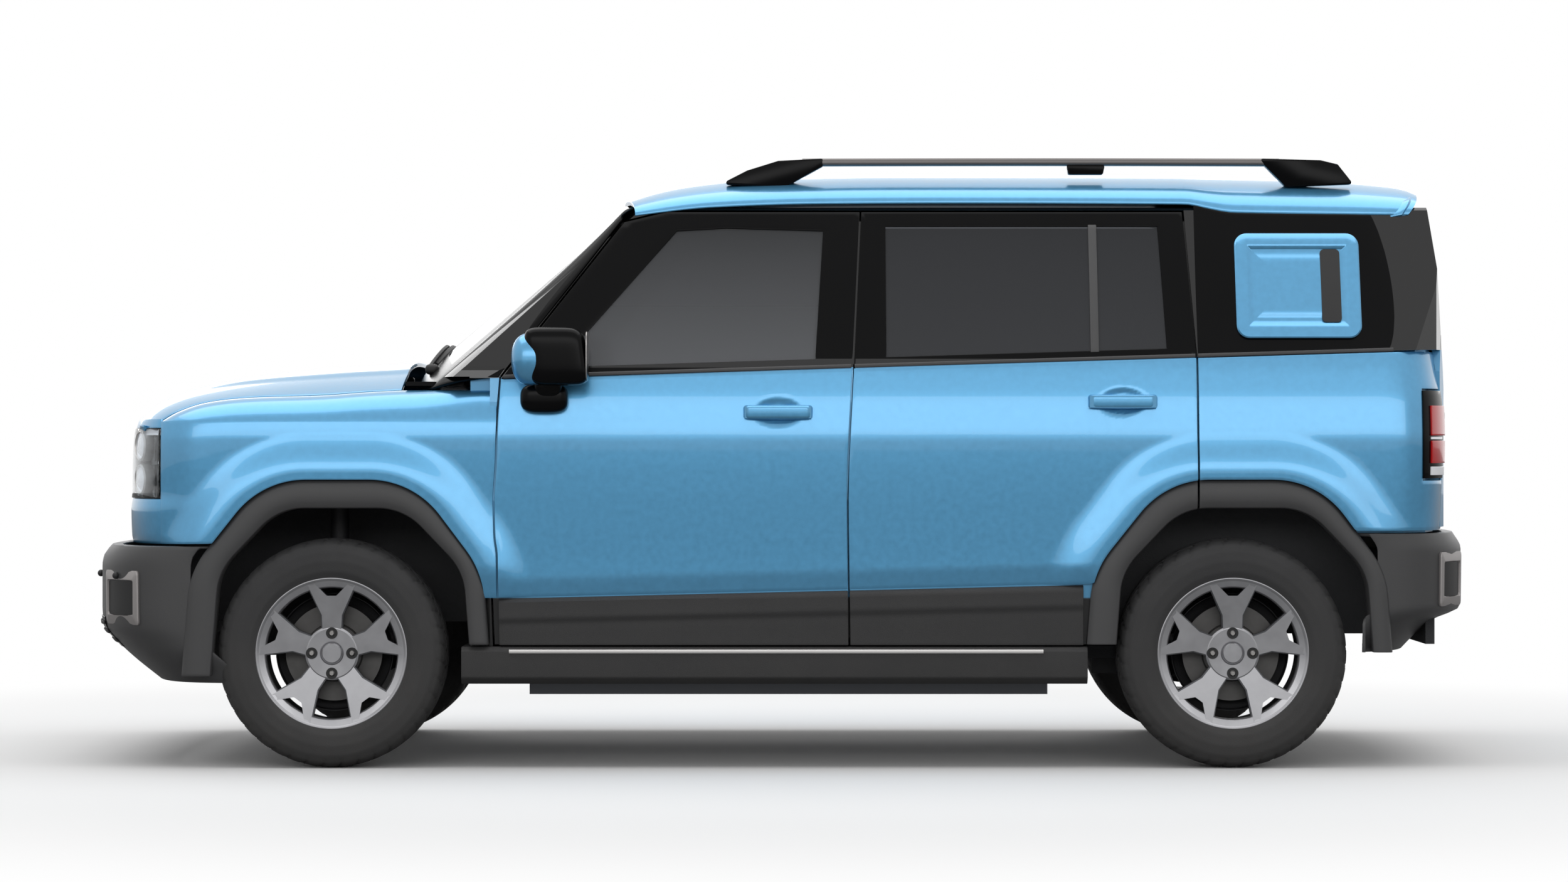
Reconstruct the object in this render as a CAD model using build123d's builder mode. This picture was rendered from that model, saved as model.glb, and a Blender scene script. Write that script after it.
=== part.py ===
from build123d import *
import os
from math import atan2, cos, degrees, radians, sin

os.makedirs("parts", exist_ok=True)

# Frame: +X to the nose, +Y to the left side, +Z up, millimetres.
# The origin is on the ground at the middle of the length.

# Overall
nose_x = 1998
tail_x = -1998
wheelbase = 2560
front_axle_x = 1278
rear_axle_x = front_axle_x - wheelbase
track_half = 762
shut_gap = 6
seat_gap = 0.3
far = 4000

# Wheels and tyres
tyre_radius = 326
tyre_width = 205
tyre_shoulder = 28
rim_radius = 214
rim_lip = 12
rim_width = 180
rim_wall = 9
spoke_count = 5
spoke_width = 62
spoke_depth = 34
fork_width = 34
fork_angle = 17
fork_radius = 112
wheel_face_inset = 26
wheel_hub_radius = 74
wheel_hub_depth = 52
lug_circle = 114.3
lug_radius = 9
lug_height = 16
disc_radius = 138
disc_thick = 22
disc_offset = 18

# Body section: half widths at named heights
sill_z = 240
sill_half = 835
side_low_z = 480
side_low_half = 856
side_mid_z = 760
side_mid_half = 860
side_top_z = 1040
side_top_half = 850
belt_z = 1130
belt_half = 838
roof_edge_z = 1592
roof_edge_half = 686
roof_side_z = 1672
roof_side_half = 588
roof_crown_z = 1716
roof_crown_half = 250
door_thick = 84
frame_thick = 40
frame_depth = 74
roof_thick = 30

# Side silhouette of the cabin
screen_foot_x = 1050
screen_foot_z = 1152
screen_head_x = 466
screen_head_z = 1634
roof_front_x = 240
roof_front_z = 1692
roof_top_x = -320
roof_rear_x = -1560
roof_rear_z = 1704
tail_top_x = -1842
tail_top_z = 1668
tail_glass_x = -1856
tail_belt_x = -1912
tail_face_x = -1928
tail_low_x = -1918
screen_bow = 3400
screen_thick = 6

# Front end
hood_rear_x = 1086
hood_rear_z = 1152
hood_mid_x = 1500
hood_mid_z = 1124
hood_front_x = 1740
hood_front_z = 1084
hood_nose_x = 1852
hood_nose_z = 1012
face_top_x = 1890
face_top_z = 968
face_mid_x = 1902
face_low_x = 1890
hood_half = 742
hood_thick = 26
shoulder_half = 814
shoulder_z = 1056
shoulder_rise = 26
shoulder_low_z = 1000
shoulder_low_half = 850
hood_crown_z = 1156
skin_thick = 32

# Hood hinges
hood_hinge_x = hood_rear_x + 14
hood_hinge_z = 1110
hood_hinge_half = 250
hood_bracket_drop = 11
hood_ear_width = 14
hood_ear_half = 9
hood_ear_gap = 3
hood_pin_radius = 4.5
cowl_depth = 140
cowl_thick = 12
cowl_gap = 10

# Plan outline
corner_half = 882
front_plan_mid_half = 600
front_plan_mid_x = 1882
front_corner_half = 780
front_corner_x = 1812
front_side_x = 1640
rear_plan_mid_half = 600
rear_plan_mid_x = -1916
rear_corner_half = 760
rear_corner_x = -1872
rear_side_x = -1740

# Doors
front_door_front_x = 822
front_door_belt_x = 796
front_door_low_x = 814
front_door_bend_z = (600, 780)
b_line_x = -186
b_line_top_x = -224
rear_door_rear_x = -1176
door_low_z = 352
door_top_z = 1586
door_front_top_x = 452
door_front_top_z = 1556
hinge_back = 30
hinge_half = 850
hinge_heights = (590, 790)
hinge_arm_half = 5
hinge_arm_height = 24
hinge_arm_root_half = 730
hinge_pin_radius = 3.5
hinge_pin_length = 12
hinge_slot_gap = 5
hinge_slot_out = 5.5
hinge_sweep_radius = 75
belt_rise = 0.0306
belt_ref_x = 548
belt_ref_z = 1116
cladding_top_z = 482
cladding_rise = 0.0235
cladding_thick = 9

# Door handles
handle_front_x = 10
handle_rear_x = -968
handle_drop = 122
handle_length = 190
handle_height = 34
handle_proud = 30
handle_bar = 15
handle_post = 26

# Windows
glass_thick = 5
window_sill = 26
front_glass_front_x = 640
front_glass_rear_x = -96
front_glass_top_z = 1532
front_glass_head_x = 300
rear_glass_front_x = -298
rear_glass_rear_x = -880
quarter_glass_front_x = -902
quarter_glass_rear_x = -1096
rear_glass_top_z = 1546

# Wheel arches: the opening in the skin and the trim round it
arch_top_z = 738
arch_shift = -30
arch_foot_half = 405
arch_knee_half = 346
arch_knee_z = 560
arch_crown_half = 176
arch_foot_z = -200
arch_round = 170
trim_band = 84
trim_rear_band = 56
trim_face_half = 880
trim_inboard = 56
wheelhouse_radius = 384
wheelhouse_top_z = 742

# Bumpers
bumper_top_z = 632
bumper_low_z = 234
bumper_face_z = 400
bumper_wall = 42
intake_low_z = 335
intake_high_z = 425
intake_inner_half = 30
intake_outer_half = 390
front_bumper_rear_x = 1640
rear_bumper_front_x = -1655
rear_bumper_top_z = 668
rear_bumper_low_z = 306
rear_bumper_face_z = 452

# Mirrors
mirror_x = 652
mirror_z = 1168
mirror_depth = 206
mirror_height = 168
mirror_round = 44
mirror_width = 128
mirror_inner_half = 872
mirror_foot_half = 838
mirror_foot_length = 138
mirror_foot_height = 88
mirror_foot_drop = 68
mirror_foot_shift = 28
mirror_arm = 44

# Seams of the fixed panels
roof_seam_z = 1600
fender_rear_x = 828
fender_top_z = 1108
post_half = 806
panel_half = 790
panel_top_z = 980
hood_lip_z = 986
wheelhouse_band = 36
wheelhouse_wall = 24
wheelhouse_outer_half = 796
rear_wheelhouse_half = 600
tail_lamp_low_z = 822
tail_lamp_high_z = 1074
tail_lamp_inner_half = 704
head_lamp_low_z = 764
head_lamp_high_z = 966
head_lamp_inner_half = 524
lamp_border = 14
lamp_depth = 14
lamp_lens_half = 700
lamp_lens_heights = (818, 915)
lamp_lens_radius = 38
lamp_lens_inset = 4
grille_slot_count = 12
grille_pitch = 78
grille_slot_width = 40
grille_slot_height = 130
screen_low_z = 1165
screen_high_z = 1618
screen_low_half = 742
screen_high_half = 604

# Tailgate
tailgate_low_z = 682
tailgate_low_half = 676
tailgate_belt_half = 686
tailgate_top_half = 566
tailgate_top_z = 1590
tailgate_thick = 70
back_glass_low_z = 1214
back_glass_high_z = 1540
back_glass_border = 62
tail_hinge_x = -1914
tail_hinge_half = 664
tail_hinge_heights = (740, 1084)
tail_bracket_half = 12
tail_bracket_inner = 6
tail_bracket_lap = 8
tail_bracket_height = 24
tail_strip_outer = 702
tail_strip_inner = 690
tail_strip_depth = 34
tail_knuckle_reach = 21
tail_knuckle_height = 28
tail_pin_radius = 5

# Rocker, roof rails and side boxes
rocker_front_x = 908
rocker_rear_x = -868
rocker_low_z = sill_z
rocker_high_z = 346
rocker_half = 868
rail_inner_half = 566
rail_width = 36
rail_front_x = 178
rail_rear_x = -1656
rail_top_z = 1748
rail_bar_thick = 22
rail_post_x = -880
rail_post_length = 112
box_front_x = -1296
box_rear_x = -1652
box_low_z = 1222
box_high_z = 1524
box_proud = 12
box_border = 48
box_floor = 4

# Seats and dashboard
seat_y = 370
seat_width = 500
seat_front_x = 380
seat_back_x = -130
seat_base_z = 560
seat_top_z = 690
seat_back_top_z = 1250
seat_back_lean = 150
seat_back_thick = 110
headrest_top_z = 1465
headrest_width = 260
headrest_thick = 86
rear_seat_front_x = -560
rear_seat_back_x = -1000
rear_seat_half = 566
dash_half = 674
dash_rear_x = 590
steer_x = 500
steer_z = 1085
steer_tilt = 25
steer_radius = 180
steer_grip = 14
column_radius = 22
column_length = 170

# Suspension and drive
kingpin_half = 670
knuckle_radius = 26
knuckle_low_z = 222
knuckle_high_z = 470
pin_radius = 10
pin_length = 22
running_gap = 0.8
stub_radius = 20
arm_thick = 28
subframe_half = 340
strut_half = 606
strut_radius = 27
drive_half = 230
drive_radius = 118
beam_x = -1120
beam_z = 280
beam_radius = 32
kick_x = -985
cargo_floor_z = 560
beam_half = 572
arm_width = 50
arm_height = 44
arm_front_x = -900
hub_radius = 44
knuckle_face_half = 702
stub_end_half = 776
apron_top_z = 1000
apron_front_x = 1740
cross_half = 600
cross_thick = 50
tow_eye_y = -300
tow_eye_z = 380
tow_eye_radius = 9
tow_eye_depth = 40
cross_low_z = 340
cross_high_z = 520
plate_length = 440
plate_height = 120
plate_thick = 3

# Structure
floor_z = 300
floor_thick = 36
bulkhead_x = 872
bulkhead_thick = 26
sill_inner_half = 640
rear_panel_x = -1850
rear_panel_z = 640
pillar_b_half = 66
aperture_lap = 34
battery_low_z = 196
battery_length = 1500
battery_width = 1180
battery_x = -20
apron_half = 430
apron_thick = 24
rail_size = 90


def belt_height(x):
    """Height of the belt line, which rises towards the tail."""
    return belt_ref_z + (belt_ref_x - x) * belt_rise


def cladding_height(x):
    """Height of the upper edge of the lower cladding."""
    return cladding_top_z + (front_door_front_x - x) * cladding_rise


def side_prism(points, low_y, high_y):
    """Prism of a closed side-view outline between two Y planes."""
    with BuildPart() as prism:
        with BuildSketch(Plane.XZ.offset(-low_y)):
            with BuildLine():
                Polyline(*points, close=True)
            make_face()
        extrude(amount=-(high_y - low_y))
    return prism.part


def round_prism(points, radius, low_y, high_y):
    """Prism of a side-view outline whose corners are rounded alike."""
    with BuildPart() as prism:
        with BuildSketch(Plane.XZ.offset(-low_y)):
            with BuildLine():
                FilletPolyline(*points, radius=radius, close=True)
            make_face()
        extrude(amount=-(high_y - low_y))
    return prism.part


def mirrored(points):
    """Closed outline from one half, mirrored over the vertical middle line."""
    return points + [(-a, b) for a, b in reversed(points)]


def cabin_silhouette(inset):
    """Side outline of the cabin, moved inwards by an inset."""
    return [
        (screen_foot_x - inset, sill_z),
        (screen_foot_x - inset, screen_foot_z - inset),
        (screen_head_x - inset, screen_head_z - inset),
        (roof_front_x - inset, roof_front_z - inset),
        (roof_top_x, roof_crown_z - inset),
        (roof_rear_x, roof_rear_z - inset),
        (tail_top_x + inset, tail_top_z - inset),
        (tail_glass_x + inset, roof_edge_z),
        (tail_belt_x + inset, belt_z),
        (tail_face_x + inset, side_top_z - 100),
        (tail_low_x + inset, sill_z),
    ]


def cabin_section(lower, upper, top, ledge):
    """Half section of the cabin, moved inwards below the belt, above it and at the roof."""
    return [
        (sill_half - lower, sill_z),
        (side_low_half - lower, side_low_z),
        (side_mid_half - lower, side_mid_z),
        (side_top_half - lower, side_top_z),
        (belt_half - max(lower, upper) if lower else belt_half, belt_z - lower * 0.3 + ledge),
        (belt_half - upper, belt_z + 12 + ledge),
        (roof_edge_half - upper, roof_edge_z),
        (roof_side_half - upper, roof_side_z - top),
        (roof_crown_half, roof_crown_z - top),
    ]


def plan_outline(front_shift, rear_shift, side_shift):
    """Outline of the body seen from above, each end moved along X and the sides along Y."""
    half = corner_half - side_shift
    front = [
        (front_plan_mid_x + 20 - front_shift, 0),
        (front_plan_mid_x - front_shift, front_plan_mid_half),
        (front_corner_x - front_shift, front_corner_half - side_shift),
        (front_side_x - front_shift, half),
    ]
    rear = [
        (rear_side_x + rear_shift, half),
        (rear_corner_x + rear_shift, rear_corner_half - side_shift),
        (rear_plan_mid_x + rear_shift, rear_plan_mid_half),
        (rear_plan_mid_x - 12 + rear_shift, 0),
    ]
    left = front + rear
    right = [(x, -y) for x, y in reversed(left) if y > 0]
    return left + right


def cabin_form(inset, lower, upper, top, plan_shift, ledge=0):
    """Solid inside the cabin silhouette, section and plan, each moved inwards."""
    with BuildPart() as form:
        with BuildSketch(Plane.XZ):
            with BuildLine():
                Polyline(*cabin_silhouette(inset), close=True)
            make_face()
        extrude(amount=corner_half, both=True)
        with BuildSketch(Plane.YZ):
            with BuildLine():
                Polyline(*mirrored(cabin_section(lower, upper, top, ledge)), close=True)
            make_face()
        extrude(amount=far, both=True, mode=Mode.INTERSECT)
        with BuildSketch(Plane.XY):
            with BuildLine():
                Polyline(*plan_outline(0, plan_shift, 0), close=True)
            make_face()
        extrude(amount=far, both=True, mode=Mode.INTERSECT)
        add(screen_cylinder(inset), mode=Mode.INTERSECT)
    return form.part


def screen_cylinder(inset):
    """Large cylinder along the slope of the screen, which bows the screen in plan."""
    slope = Vector(screen_head_x - screen_foot_x, 0, screen_head_z - screen_foot_z)
    normal = Vector(slope.Z, 0, -slope.X).normalized()
    middle = Vector(screen_foot_x, 0, screen_foot_z) + slope * 0.5
    centre = middle - normal * (screen_bow + inset)
    plane = Plane(origin=centre, x_dir=(0, 1, 0), z_dir=slope.normalized())
    with BuildPart() as tube:
        with BuildSketch(plane):
            Circle(screen_bow)
        extrude(amount=far, both=True)
    return tube.part


def front_silhouette(inset):
    """Side outline of the front end, from the sill over the nose to the cowl."""
    return [
        (front_door_front_x - 200, sill_z),
        (face_low_x - inset, sill_z),
        (face_low_x - inset, bumper_top_z),
        (face_mid_x - inset, face_top_z - 120),
        (face_top_x - inset, face_top_z),
        (hood_nose_x - inset, hood_nose_z + 20 - inset),
        (hood_front_x, hood_front_z - inset),
        (hood_mid_x, hood_mid_z - inset),
        (hood_rear_x, hood_rear_z - inset),
        (front_door_front_x - 200, hood_rear_z - inset),
    ]


def front_section(inset):
    """Half section of the front end, with the shoulder and the hood's crown."""
    return [
        (sill_half - inset, sill_z),
        (side_low_half - inset, side_low_z),
        (side_mid_half - inset, side_mid_z),
        (shoulder_low_half - inset, shoulder_low_z - inset * 0.4),
        (shoulder_half - inset * 0.7, shoulder_z - inset),
        (hood_half - inset * 0.5, shoulder_z + shoulder_rise - inset),
        (roof_crown_half, hood_crown_z - inset),
    ]


def front_form(inset):
    """Solid inside the front silhouette, section and plan, each moved inwards."""
    with BuildPart() as form:
        with BuildSketch(Plane.XZ):
            with BuildLine():
                Polyline(*front_silhouette(inset), close=True)
            make_face()
        extrude(amount=corner_half, both=True)
        with BuildSketch(Plane.YZ):
            with BuildLine():
                Polyline(*mirrored(front_section(inset)), close=True)
            make_face()
        extrude(amount=far, both=True, mode=Mode.INTERSECT)
        with BuildSketch(Plane.XY):
            with BuildLine():
                Polyline(*plan_outline(inset, 0, inset), close=True)
            make_face()
        extrude(amount=far, both=True, mode=Mode.INTERSECT)
    return form.part


def arch_outline(axle_x, band, rear_band):
    """Outline of a wheel arch, widened by a band over its top and front and by another behind."""
    middle = axle_x + arch_shift
    return [
        (middle + arch_foot_half + band, arch_foot_z),
        (middle + arch_knee_half + band, arch_knee_z),
        (middle + arch_crown_half + band * 0.55, arch_top_z + band),
        (middle - arch_crown_half - rear_band * 0.55, arch_top_z + band),
        (middle - arch_knee_half - rear_band, arch_knee_z),
        (middle - arch_foot_half - rear_band, arch_foot_z),
    ]


def arch_prism(axle_x, band, rear_band, low_y, high_y):
    """Prism of a wheel arch outline with rounded corners."""
    return round_prism(arch_outline(axle_x, band, rear_band), arch_round + band, low_y, high_y)


cabin_outer = cabin_form(0, 0, 0, 0, 0)
door_core = cabin_form(0, door_thick, frame_thick, roof_thick, 0)
pocket_core = cabin_form(
    0, door_thick + shut_gap, frame_thick + shut_gap, roof_thick, 0, shut_gap
)
cabin_core = cabin_form(
    roof_thick, door_thick + frame_depth, frame_depth + shut_gap, roof_thick, frame_depth
)
glass_outer = cabin_form(0, door_thick, (frame_thick - glass_thick) / 2, roof_thick, 0)
glass_inner = cabin_form(0, door_thick, (frame_thick + glass_thick) / 2, roof_thick, 0)
cladding_outer = cabin_form(0, -cladding_thick, 0, 0, 0)
roof_core = cabin_form(roof_thick, door_thick, frame_thick, roof_thick, roof_thick)
quarter_core = cabin_form(skin_thick, skin_thick, skin_thick, 0, skin_thick)
screen_core = cabin_form(screen_thick, 0, 0, 0, 0)
tail_core = cabin_form(tailgate_thick, 0, 0, 0, tailgate_thick)
box_outer = cabin_form(0, 0, -box_proud, 0, 0)
box_core = cabin_form(0, 0, -box_floor, 0, 0)
front_outer = front_form(0)
front_inner = front_form(skin_thick)
hood_under = front_form(hood_thick)

# Side outlines of the doors, without the shut gap
front_door_outline = [
    (front_door_low_x, door_low_z),
    (front_door_front_x, front_door_bend_z[0]),
    (front_door_front_x, front_door_bend_z[1]),
    (front_door_belt_x, belt_height(front_door_belt_x)),
    (door_front_top_x, door_front_top_z),
    (door_front_top_x - 120, door_top_z),
    (b_line_top_x, door_top_z),
    (b_line_x, side_mid_z),
    (b_line_x - 4, door_low_z),
]
rear_door_outline = [
    (b_line_x - 4 - shut_gap, door_low_z),
    (b_line_x - shut_gap, side_mid_z),
    (b_line_top_x - shut_gap, door_top_z),
    (rear_door_rear_x + 26, door_top_z),
    (rear_door_rear_x, belt_height(rear_door_rear_x)),
    (rear_door_rear_x, arch_top_z - 100),
    (rear_door_rear_x + 200, door_low_z),
]
doors = {"front": front_door_outline, "rear": rear_door_outline}


def grown_prism(points, gap, low_y, high_y):
    """Prism of a side outline grown outwards by a gap."""
    with BuildPart() as prism:
        with BuildSketch(Plane.XZ.offset(-low_y)):
            with BuildLine():
                Polyline(*points, close=True)
            make_face()
            offset(amount=gap, kind=Kind.INTERSECTION)
        extrude(amount=-(high_y - low_y))
    return prism.part


def front_prism(points, low_x, high_x):
    """Prism of a closed front-view outline between two X planes."""
    with BuildPart() as prism:
        with BuildSketch(Plane.YZ.offset(low_x)):
            with BuildLine():
                Polyline(*points, close=True)
            make_face()
        extrude(amount=high_x - low_x)
    return prism.part


def plan_prism(points, low_z, high_z):
    """Prism of a closed plan outline between two heights."""
    with BuildPart() as prism:
        with BuildSketch(Plane.XY.offset(low_z)):
            with BuildLine():
                Polyline(*points, close=True)
            make_face()
        extrude(amount=high_z - low_z)
    return prism.part


def block(low, high):
    """Box between its lowest and highest corners."""
    with BuildPart(mode=Mode.PRIVATE) as box:
        with Locations(low):
            Box(*[b - a for a, b in zip(low, high)], align=(Align.MIN, Align.MIN, Align.MIN))
    return box.part


# Window outlines in side view
front_window = [
    (front_glass_front_x, belt_height(front_glass_front_x) + window_sill),
    (front_glass_rear_x, belt_height(front_glass_rear_x) + window_sill),
    (front_glass_rear_x - 24, front_glass_top_z),
    (front_glass_head_x, front_glass_top_z),
]
rear_window = [
    (rear_glass_front_x, belt_height(rear_glass_front_x) + window_sill),
    (rear_glass_rear_x, belt_height(rear_glass_rear_x) + window_sill),
    (rear_glass_rear_x, rear_glass_top_z),
    (rear_glass_front_x, rear_glass_top_z),
]
quarter_window = [
    (quarter_glass_front_x, belt_height(quarter_glass_front_x) + window_sill),
    (quarter_glass_rear_x, belt_height(quarter_glass_rear_x) + window_sill),
    (quarter_glass_rear_x + 18, rear_glass_top_z),
    (quarter_glass_front_x, rear_glass_top_z),
]
windows = {"front": [front_window], "rear": [rear_window, quarter_window]}
handles = {"front": handle_front_x, "rear": handle_rear_x}
door_hinge_x = {
    "front": front_door_front_x - hinge_back,
    "rear": b_line_x - shut_gap - hinge_back,
}


def ring_band(axle_x, low_y, high_y):
    """Trim ring round one wheel arch, between two Y planes."""
    with BuildPart() as ring:
        add(arch_prism(axle_x, trim_band, trim_rear_band, low_y, high_y))
        add(arch_prism(axle_x, 0, 0, low_y - 1, high_y + 1), mode=Mode.SUBTRACT)
    return ring.part


def hinge_arms(place):
    """Arms that stand out from a left pillar, each with a pin above and below it."""
    x = door_hinge_x[place]
    with BuildPart() as arms:
        for low_z in hinge_heights:
            add(block((x - hinge_arm_half, hinge_arm_root_half, low_z),
                      (x + hinge_arm_half, hinge_half, low_z + hinge_arm_height)))
            with BuildSketch(Plane.XY.offset(low_z)):
                with Locations((x, hinge_half)):
                    Circle(hinge_arm_half)
            extrude(amount=hinge_arm_height)
            reach = hinge_slot_gap + hinge_pin_length
            with BuildSketch(Plane.XY.offset(low_z - reach)):
                with Locations((x, hinge_half)):
                    Circle(hinge_pin_radius)
            extrude(amount=hinge_arm_height + 2 * reach)
    return arms.part


def hinge_relief(place):
    """Room in a left door for its hinge arms and pins, with its inner front edge cut to its swing."""
    x = door_hinge_x[place]
    edge_x = x + hinge_back + shut_gap
    with BuildPart() as relief:
        add(block((x, 0, 0), (edge_x, hinge_half, belt_z)))
        with BuildSketch(Plane.XY):
            with Locations((x, hinge_half)):
                Circle(hinge_sweep_radius)
        extrude(amount=belt_z, mode=Mode.SUBTRACT)
        for arm_z in hinge_heights:
            low_z = arm_z - hinge_slot_gap
            height = hinge_arm_height + 2 * hinge_slot_gap
            add(block((x - hinge_arm_half - hinge_slot_gap, 0, low_z),
                      (edge_x, hinge_half + hinge_slot_out, low_z + height)))
            reach = hinge_pin_length + running_gap
            with BuildSketch(Plane.XY.offset(low_z - reach)):
                with Locations((x, hinge_half)):
                    Circle(hinge_pin_radius + running_gap)
            extrude(amount=height + 2 * reach)
    return relief.part


def door_shell(place):
    """Left door: a hollow-framed slab with its windows cut and its handle."""
    x = handles[place]
    z = belt_height(x) - handle_drop
    with BuildPart() as shell:
        add(cabin_outer)
        add(door_core, mode=Mode.SUBTRACT)
        add(side_prism(doors[place], 0, corner_half + 40), mode=Mode.INTERSECT)
        if place == "rear":
            wide_arch = arch_prism(rear_axle_x, trim_band, trim_rear_band, 0, far)
            add(wide_arch, mode=Mode.SUBTRACT)
        for window in windows[place]:
            add(side_prism(window, 0, far), mode=Mode.SUBTRACT)
        add(hinge_relief(place), mode=Mode.SUBTRACT)
        add(block((x - handle_length / 2, side_top_half - 6, z - handle_height / 2),
                  (x + handle_length / 2, side_top_half + handle_proud, z + handle_height / 2)))
        add(block((x - handle_length / 2 + handle_post, side_top_half + 2, z - handle_height),
                  (x + handle_length / 2 - handle_post,
                   side_top_half + handle_proud - handle_bar, z + handle_height)),
            mode=Mode.SUBTRACT)
    return shell.part


def door_pane(place):
    """Glass of a left door: one flat pane for each window."""
    with BuildPart() as holes:
        for window in windows[place]:
            add(side_prism(window, 0, far))
    with BuildPart() as pane:
        add(glass_outer)
        add(glass_inner, mode=Mode.SUBTRACT)
        add(holes.part, mode=Mode.INTERSECT)
    return pane.part


def door_cladding(place):
    """Dark lower cladding of a left door, with the arch ring's part on the rear one."""
    front_x = max(x for x, z in doors[place])
    rear_x = min(x for x, z in doors[place])
    strip = [
        (front_x, door_low_z),
        (front_x, cladding_height(front_x)),
        (rear_x, cladding_height(rear_x)),
        (rear_x, door_low_z),
    ]
    with BuildPart() as ring_part:
        add(ring_band(rear_axle_x, trim_face_half - trim_inboard, trim_face_half))
        add(block((rear_door_rear_x, 0, door_low_z), (b_line_x, far, far)), mode=Mode.INTERSECT)
    with BuildPart() as cladding:
        add(cladding_outer)
        add(cabin_outer, mode=Mode.SUBTRACT)
        add(side_prism(strip, 0, far), mode=Mode.INTERSECT)
        add(side_prism(doors[place], 0, far), mode=Mode.INTERSECT)
        if place == "rear":
            wide_arch = arch_prism(rear_axle_x, trim_band, trim_rear_band, 0, far)
            add(wide_arch, mode=Mode.SUBTRACT)
            add(ring_part.part)
    return cladding.part


def left_and_right(left):
    """A left piece and its mirror image, as one part of separate solids."""
    with BuildPart() as pair:
        add(left)
        mirror(left, about=Plane.XZ)
    return pair.part


def save(piece, name):
    """Label a finished piece and write it to its own file."""
    piece.label = name
    export_step(piece, f"parts/{name}.step")


# Doors, their glass and cladding
for place in doors:
    for make, name in ((door_shell, "door"), (door_pane, "door_glass"), (door_cladding, "door_cladding")):
        left = make(place)
        save(left, f"{name}_{place}_left")
        with BuildPart() as right:
            mirror(left, about=Plane.XZ)
        save(right.part, f"{name}_{place}_right")

# Door mirrors: a rounded housing on a foot that stands on the door
for side, sign in (("left", 1), ("right", -1)):
    with BuildPart() as door_mirror:
        with BuildSketch(Plane.XZ.offset(-sign * mirror_inner_half)):
            with Locations((mirror_x, mirror_z)):
                RectangleRounded(mirror_depth, mirror_height, mirror_round)
        extrude(amount=-sign * mirror_width, taper=0)
        with BuildSketch(Plane.XZ.offset(-sign * mirror_foot_half)):
            with Locations((mirror_x + mirror_foot_shift, belt_height(mirror_x) - mirror_foot_drop)):
                RectangleRounded(mirror_foot_length, mirror_foot_height, mirror_foot_height * 0.3)
        extrude(amount=-sign * (mirror_inner_half - mirror_foot_half + mirror_arm))
        with BuildSketch(Plane.XY.offset(belt_height(mirror_x) - mirror_foot_drop)):
            with Locations((mirror_x + mirror_foot_shift, sign * (mirror_inner_half + mirror_arm / 2))):
                RectangleRounded(mirror_foot_length * 0.7, mirror_arm, mirror_arm * 0.3)
        extrude(amount=mirror_z - belt_height(mirror_x) + mirror_foot_drop)
        add(cabin_outer, mode=Mode.SUBTRACT)
    save(door_mirror.part, f"mirror_{side}")



def tailgate_half_outline(gap):
    """Half outline of the tailgate seen from behind, grown outwards by a gap."""
    return [
        (tailgate_low_half + gap, tailgate_low_z - gap),
        (tailgate_belt_half + gap, belt_z),
        (tailgate_top_half + gap, tailgate_top_z + gap),
    ]


def bumper_outline(front):
    """Side outline of a bumper, from its end at the wheel arch round its outer face."""
    if front:
        return [
            (front_bumper_rear_x, bumper_low_z),
            (nose_x - 184, bumper_low_z + 6),
            (nose_x - 46, bumper_face_z - 50),
            (nose_x, bumper_face_z),
            (nose_x, bumper_top_z - 52),
            (nose_x - 26, bumper_top_z),
            (front_bumper_rear_x, bumper_top_z),
        ]
    return [
        (rear_bumper_front_x, rear_bumper_low_z),
        (tail_x + 90, rear_bumper_low_z + 104),
        (tail_x, rear_bumper_face_z),
        (tail_x, rear_bumper_top_z - 50),
        (tail_x + 28, rear_bumper_top_z),
        (rear_bumper_front_x, rear_bumper_top_z),
    ]


def bumper_plan(front, inset):
    """Plan outline of a bumper, moved inwards by an inset."""
    end_x = front_bumper_rear_x if front else rear_bumper_front_x
    out = 1 if front else -1
    reach = (nose_x if front else -tail_x) - inset
    left = [
        (out * reach, 0),
        (out * (reach - 3), 420),
        (out * (reach - 58), 700),
        (out * (reach - 142), 818 - inset),
        (out * (reach - 262), side_mid_half + 6 - inset),
        (end_x, side_mid_half + 8 - inset),
    ]
    return left + [(x, -y) for x, y in reversed(left) if y > 0]


def bumper_solid(front, grow):
    """Solid inside a bumper's outer surface, grown outwards."""
    with BuildPart() as solid:
        add(side_prism(bumper_outline(front), -far / 4, far / 4))
        add(plan_prism(bumper_plan(front, -grow), 0, far), mode=Mode.INTERSECT)
    return solid.part


def bumper_hollow(front):
    """Room behind a bumper's moulding, open above and below; the front one follows its lower lip."""
    end_x = front_bumper_rear_x - bumper_wall
    face = [(x - bumper_wall, z) for x, z in bumper_outline(True)[1:-1]]
    outline = [(end_x, 0), (face[0][0], 0)] + face + [(face[-1][0], far), (end_x, far)]
    with BuildPart() as hollow:
        add(plan_prism(bumper_plan(front, bumper_wall), 0, far))
        if front:
            add(side_prism(outline, -far / 4, far / 4), mode=Mode.INTERSECT)
    return hollow.part


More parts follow.
